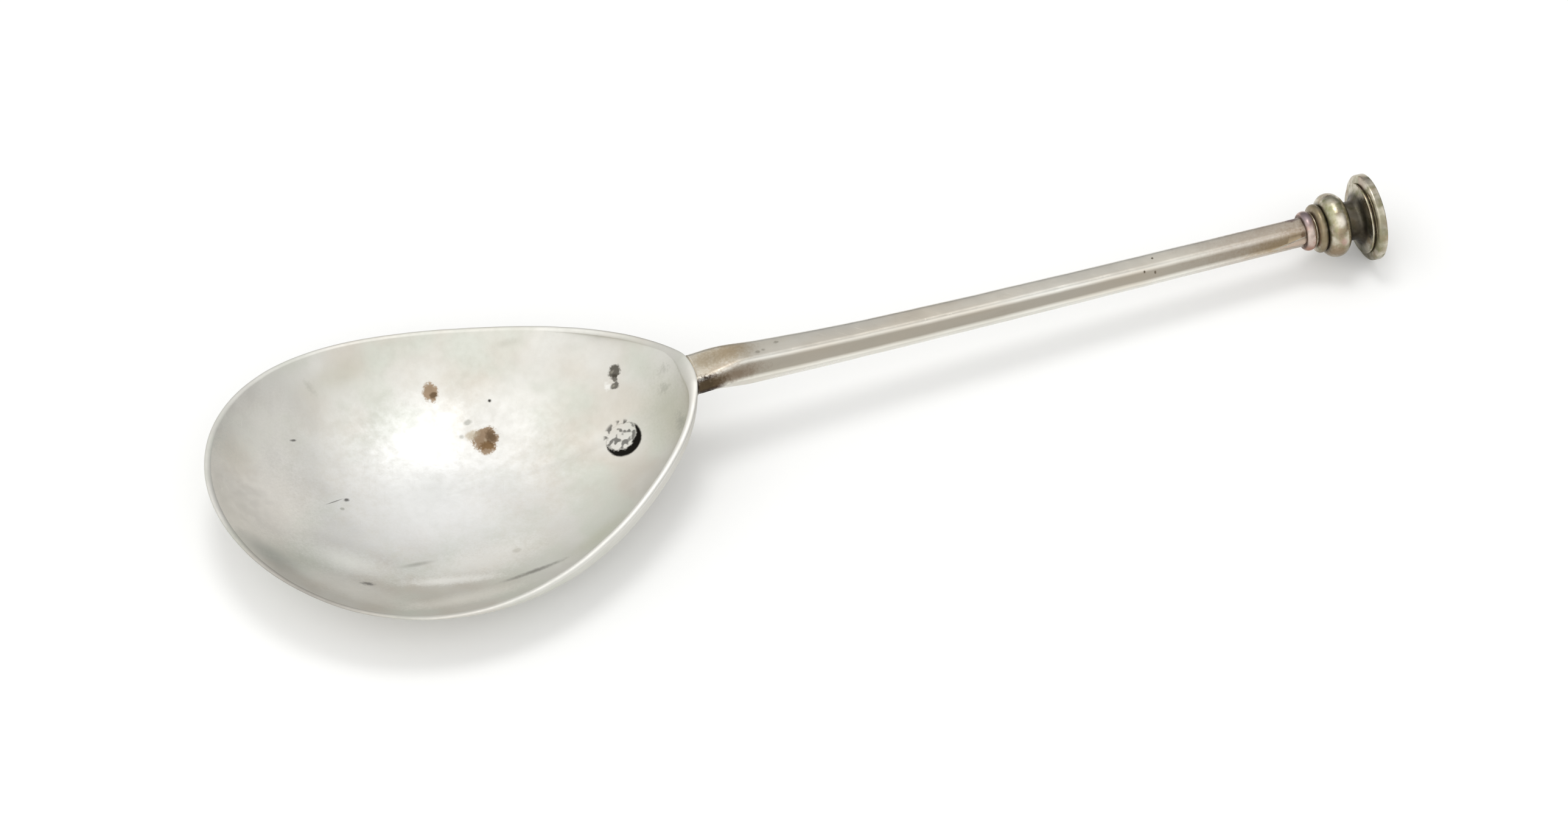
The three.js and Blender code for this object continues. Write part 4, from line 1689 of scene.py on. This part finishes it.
@dataclass(frozen=True)
class Studio:
    """White table, softbox, softly lit room and the camera at the photograph's angle.

    The camera's distance and target are in millimetres, and the table's reach is in metres.
    """

    azimuth: float = -20.315
    elevation: float = 48.587
    distance: float = 1147.41
    focal_pixels: float = 13908.69
    target: Triple = (-2.961, -0.023, 0.0)
    clip: Pair = (0.05, 20.0)
    floor_reach: float = 3.0
    floor_colour: Colour = (0.8, 0.8, 0.79)
    floor_roughness: float = 0.9
    floor_gloss: float = 0.1
    floor_glow: float = 0.105
    key: Softbox = Softbox("key_softbox", (0.01, 0.35, 1.25), 0.5, 4.0)
    room: tuple[Glow, ...] = (
        Glow((0.0, 0.0, 1.0), 0.68, 0.1, 0.85),
        Glow((0.0, -0.98, 0.2), 0.78, 0.2, 0.9),
        Glow((-0.95, 0.0, 0.3), 0.74, 0.2, 0.9),
        Glow((0.0, 0.95, 0.3), 0.23, 0.2, 0.9),
    )

    def lay_floor(self) -> None:
        """Lays a wide matt table, which keeps shadows.

        It glows a little for camera, mirror and glass rays alone, so its open parts come out white.
        """
        mesh = bpy.data.meshes.new("table_top")
        far = self.floor_reach
        corners = [(-far, -far, 0), (far, -far, 0), (far, far, 0), (-far, far, 0)]
        mesh.from_pydata(corners, [], [(0, 1, 2, 3)])
        table = put("table_top", mesh)
        bench = Bench(bpy.data.materials.new("white_table"))
        path = bench.node("ShaderNodeLightPath", {}).outputs
        seen = bench.sum("MAXIMUM", path["Is Camera Ray"], path["Is Glossy Ray"])
        seen = bench.sum("MAXIMUM", seen, path["Is Transmission Ray"])
        inputs = {
            "Base Color": (*self.floor_colour, 1.0),
            "Roughness": self.floor_roughness,
            "Specular IOR Level": self.floor_gloss,
            "Emission Color": (1.0, 1.0, 1.0, 1.0),
            "Emission Strength": bench.sum("MULTIPLY", seen, self.floor_glow),
        }
        bench.fill(bench.tree.nodes["Principled BSDF"], inputs)
        mesh.materials.append(bench.owner)
        table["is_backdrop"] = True

    def light_world(self) -> None:
        """Fills the room with white light that is the sum of its glows."""
        world = bpy.data.worlds.new("studio_room")
        bpy.context.scene.world = world
        bench = Bench(world)
        total = self.room[0].light(bench)
        for glow in self.room[1:]:
            total = bench.sum("ADD", total, glow.light(bench))
        inputs = {"Color": (1.0, 1.0, 1.0, 1.0), "Strength": total}
        bench.fill(bench.tree.nodes["Background"], inputs)

    def set_camera(self) -> None:
        """Sets the camera that was solved from the photograph."""
        a, e = math.radians(self.azimuth), math.radians(self.elevation)
        back = Vector((math.sin(a) * math.cos(e), -math.cos(a) * math.cos(e), math.sin(e)))
        right = Vector((math.cos(a), math.sin(a), 0.0))
        up = back.cross(right)
        data = bpy.data.cameras.new("photo_camera")
        data.sensor_fit = "HORIZONTAL"
        data.sensor_width = SENSOR_WIDTH
        data.lens = self.focal_pixels * SENSOR_WIDTH / IMAGE_WIDTH
        data.clip_start, data.clip_end = self.clip
        camera = put("photo_camera", data)
        spot = (Vector(self.target) + back * self.distance) * METRES
        turn = Matrix((right, up, back)).transposed()
        camera.matrix_world = Matrix.Translation(spot) @ turn.to_4x4()
        bpy.context.scene.camera = camera

    def build(self) -> None:
        """Sets up everything that isn't part of the spoon."""
        bpy.context.scene.view_settings.view_transform = "Standard"
        self.lay_floor()
        self.light_world()
        self.key.hang()
        self.set_camera()


@dataclass
class Spoon:
    """The whole spoon, dressed piece by piece."""

    frame: dict
    bowl: Bowl = field(default_factory=Bowl)
    finial: Finial = field(default_factory=Finial)

    def stand_for(self, piece: Piece, node: str) -> None:
        """Lets a new piece stand for a node of the frame, on the one body that there is.

        Args:
            piece: The new piece.
            node: Name of the node, and of its material slot.
        """
        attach(piece, "root")
        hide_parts(node)
        log.info("%s: %d faces, stands for %s", piece.name, len(piece.data.polygons), node)

    def repaint(self, node: str, finish: Finish) -> None:
        """Gives a node of the frame, whose shape is right, its finish.

        Args:
            node: Name of the node.
            finish: Its metal.
        """
        for place in self.frame["nodes"][node].material_slots:
            place.material = finish
        log.info("%s: kept, in %s", node, finish.name)

    def dress(self) -> None:
        """Builds the pieces and gives each its metal."""
        stem = Stem(self.bowl, self.finial)
        gilt = GILT_METAL.material()
        film = FILM_METAL.material()
        self.stand_for(self.bowl.make(BOWL_METAL.material()), "bowl")
        self.stand_for(stem.make(STEM_METAL.material()), "stem")
        self.stand_for(stem.make_heel_film(film), "heel_solder")
        self.stand_for(stem.make_wedge_film(film), "stem_solder")
        self.stand_for(self.finial.make_baluster(stem.make_wedge(), gilt), "baluster")
        self.stand_for(self.finial.make_collar(COLLAR_METAL.material()), "collar")
        self.stand_for(self.finial.make_seal(gilt), "seal_plate")
        self.repaint("seal_solder", SOLDER_METAL.material())


def main() -> None:
    """Loads the frame, dresses the spoon, builds the studio and notes the sizes."""
    logging.basicConfig(level=logging.INFO, format="%(message)s")
    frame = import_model()
    Spoon(frame).dress()
    Studio().build()
    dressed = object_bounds()
    low, high = (tuple(round(value, 5) for value in corner) for corner in dressed)
    log.info("dressed box %s to %s", low, high)


if __name__ == "__main__":
    main()
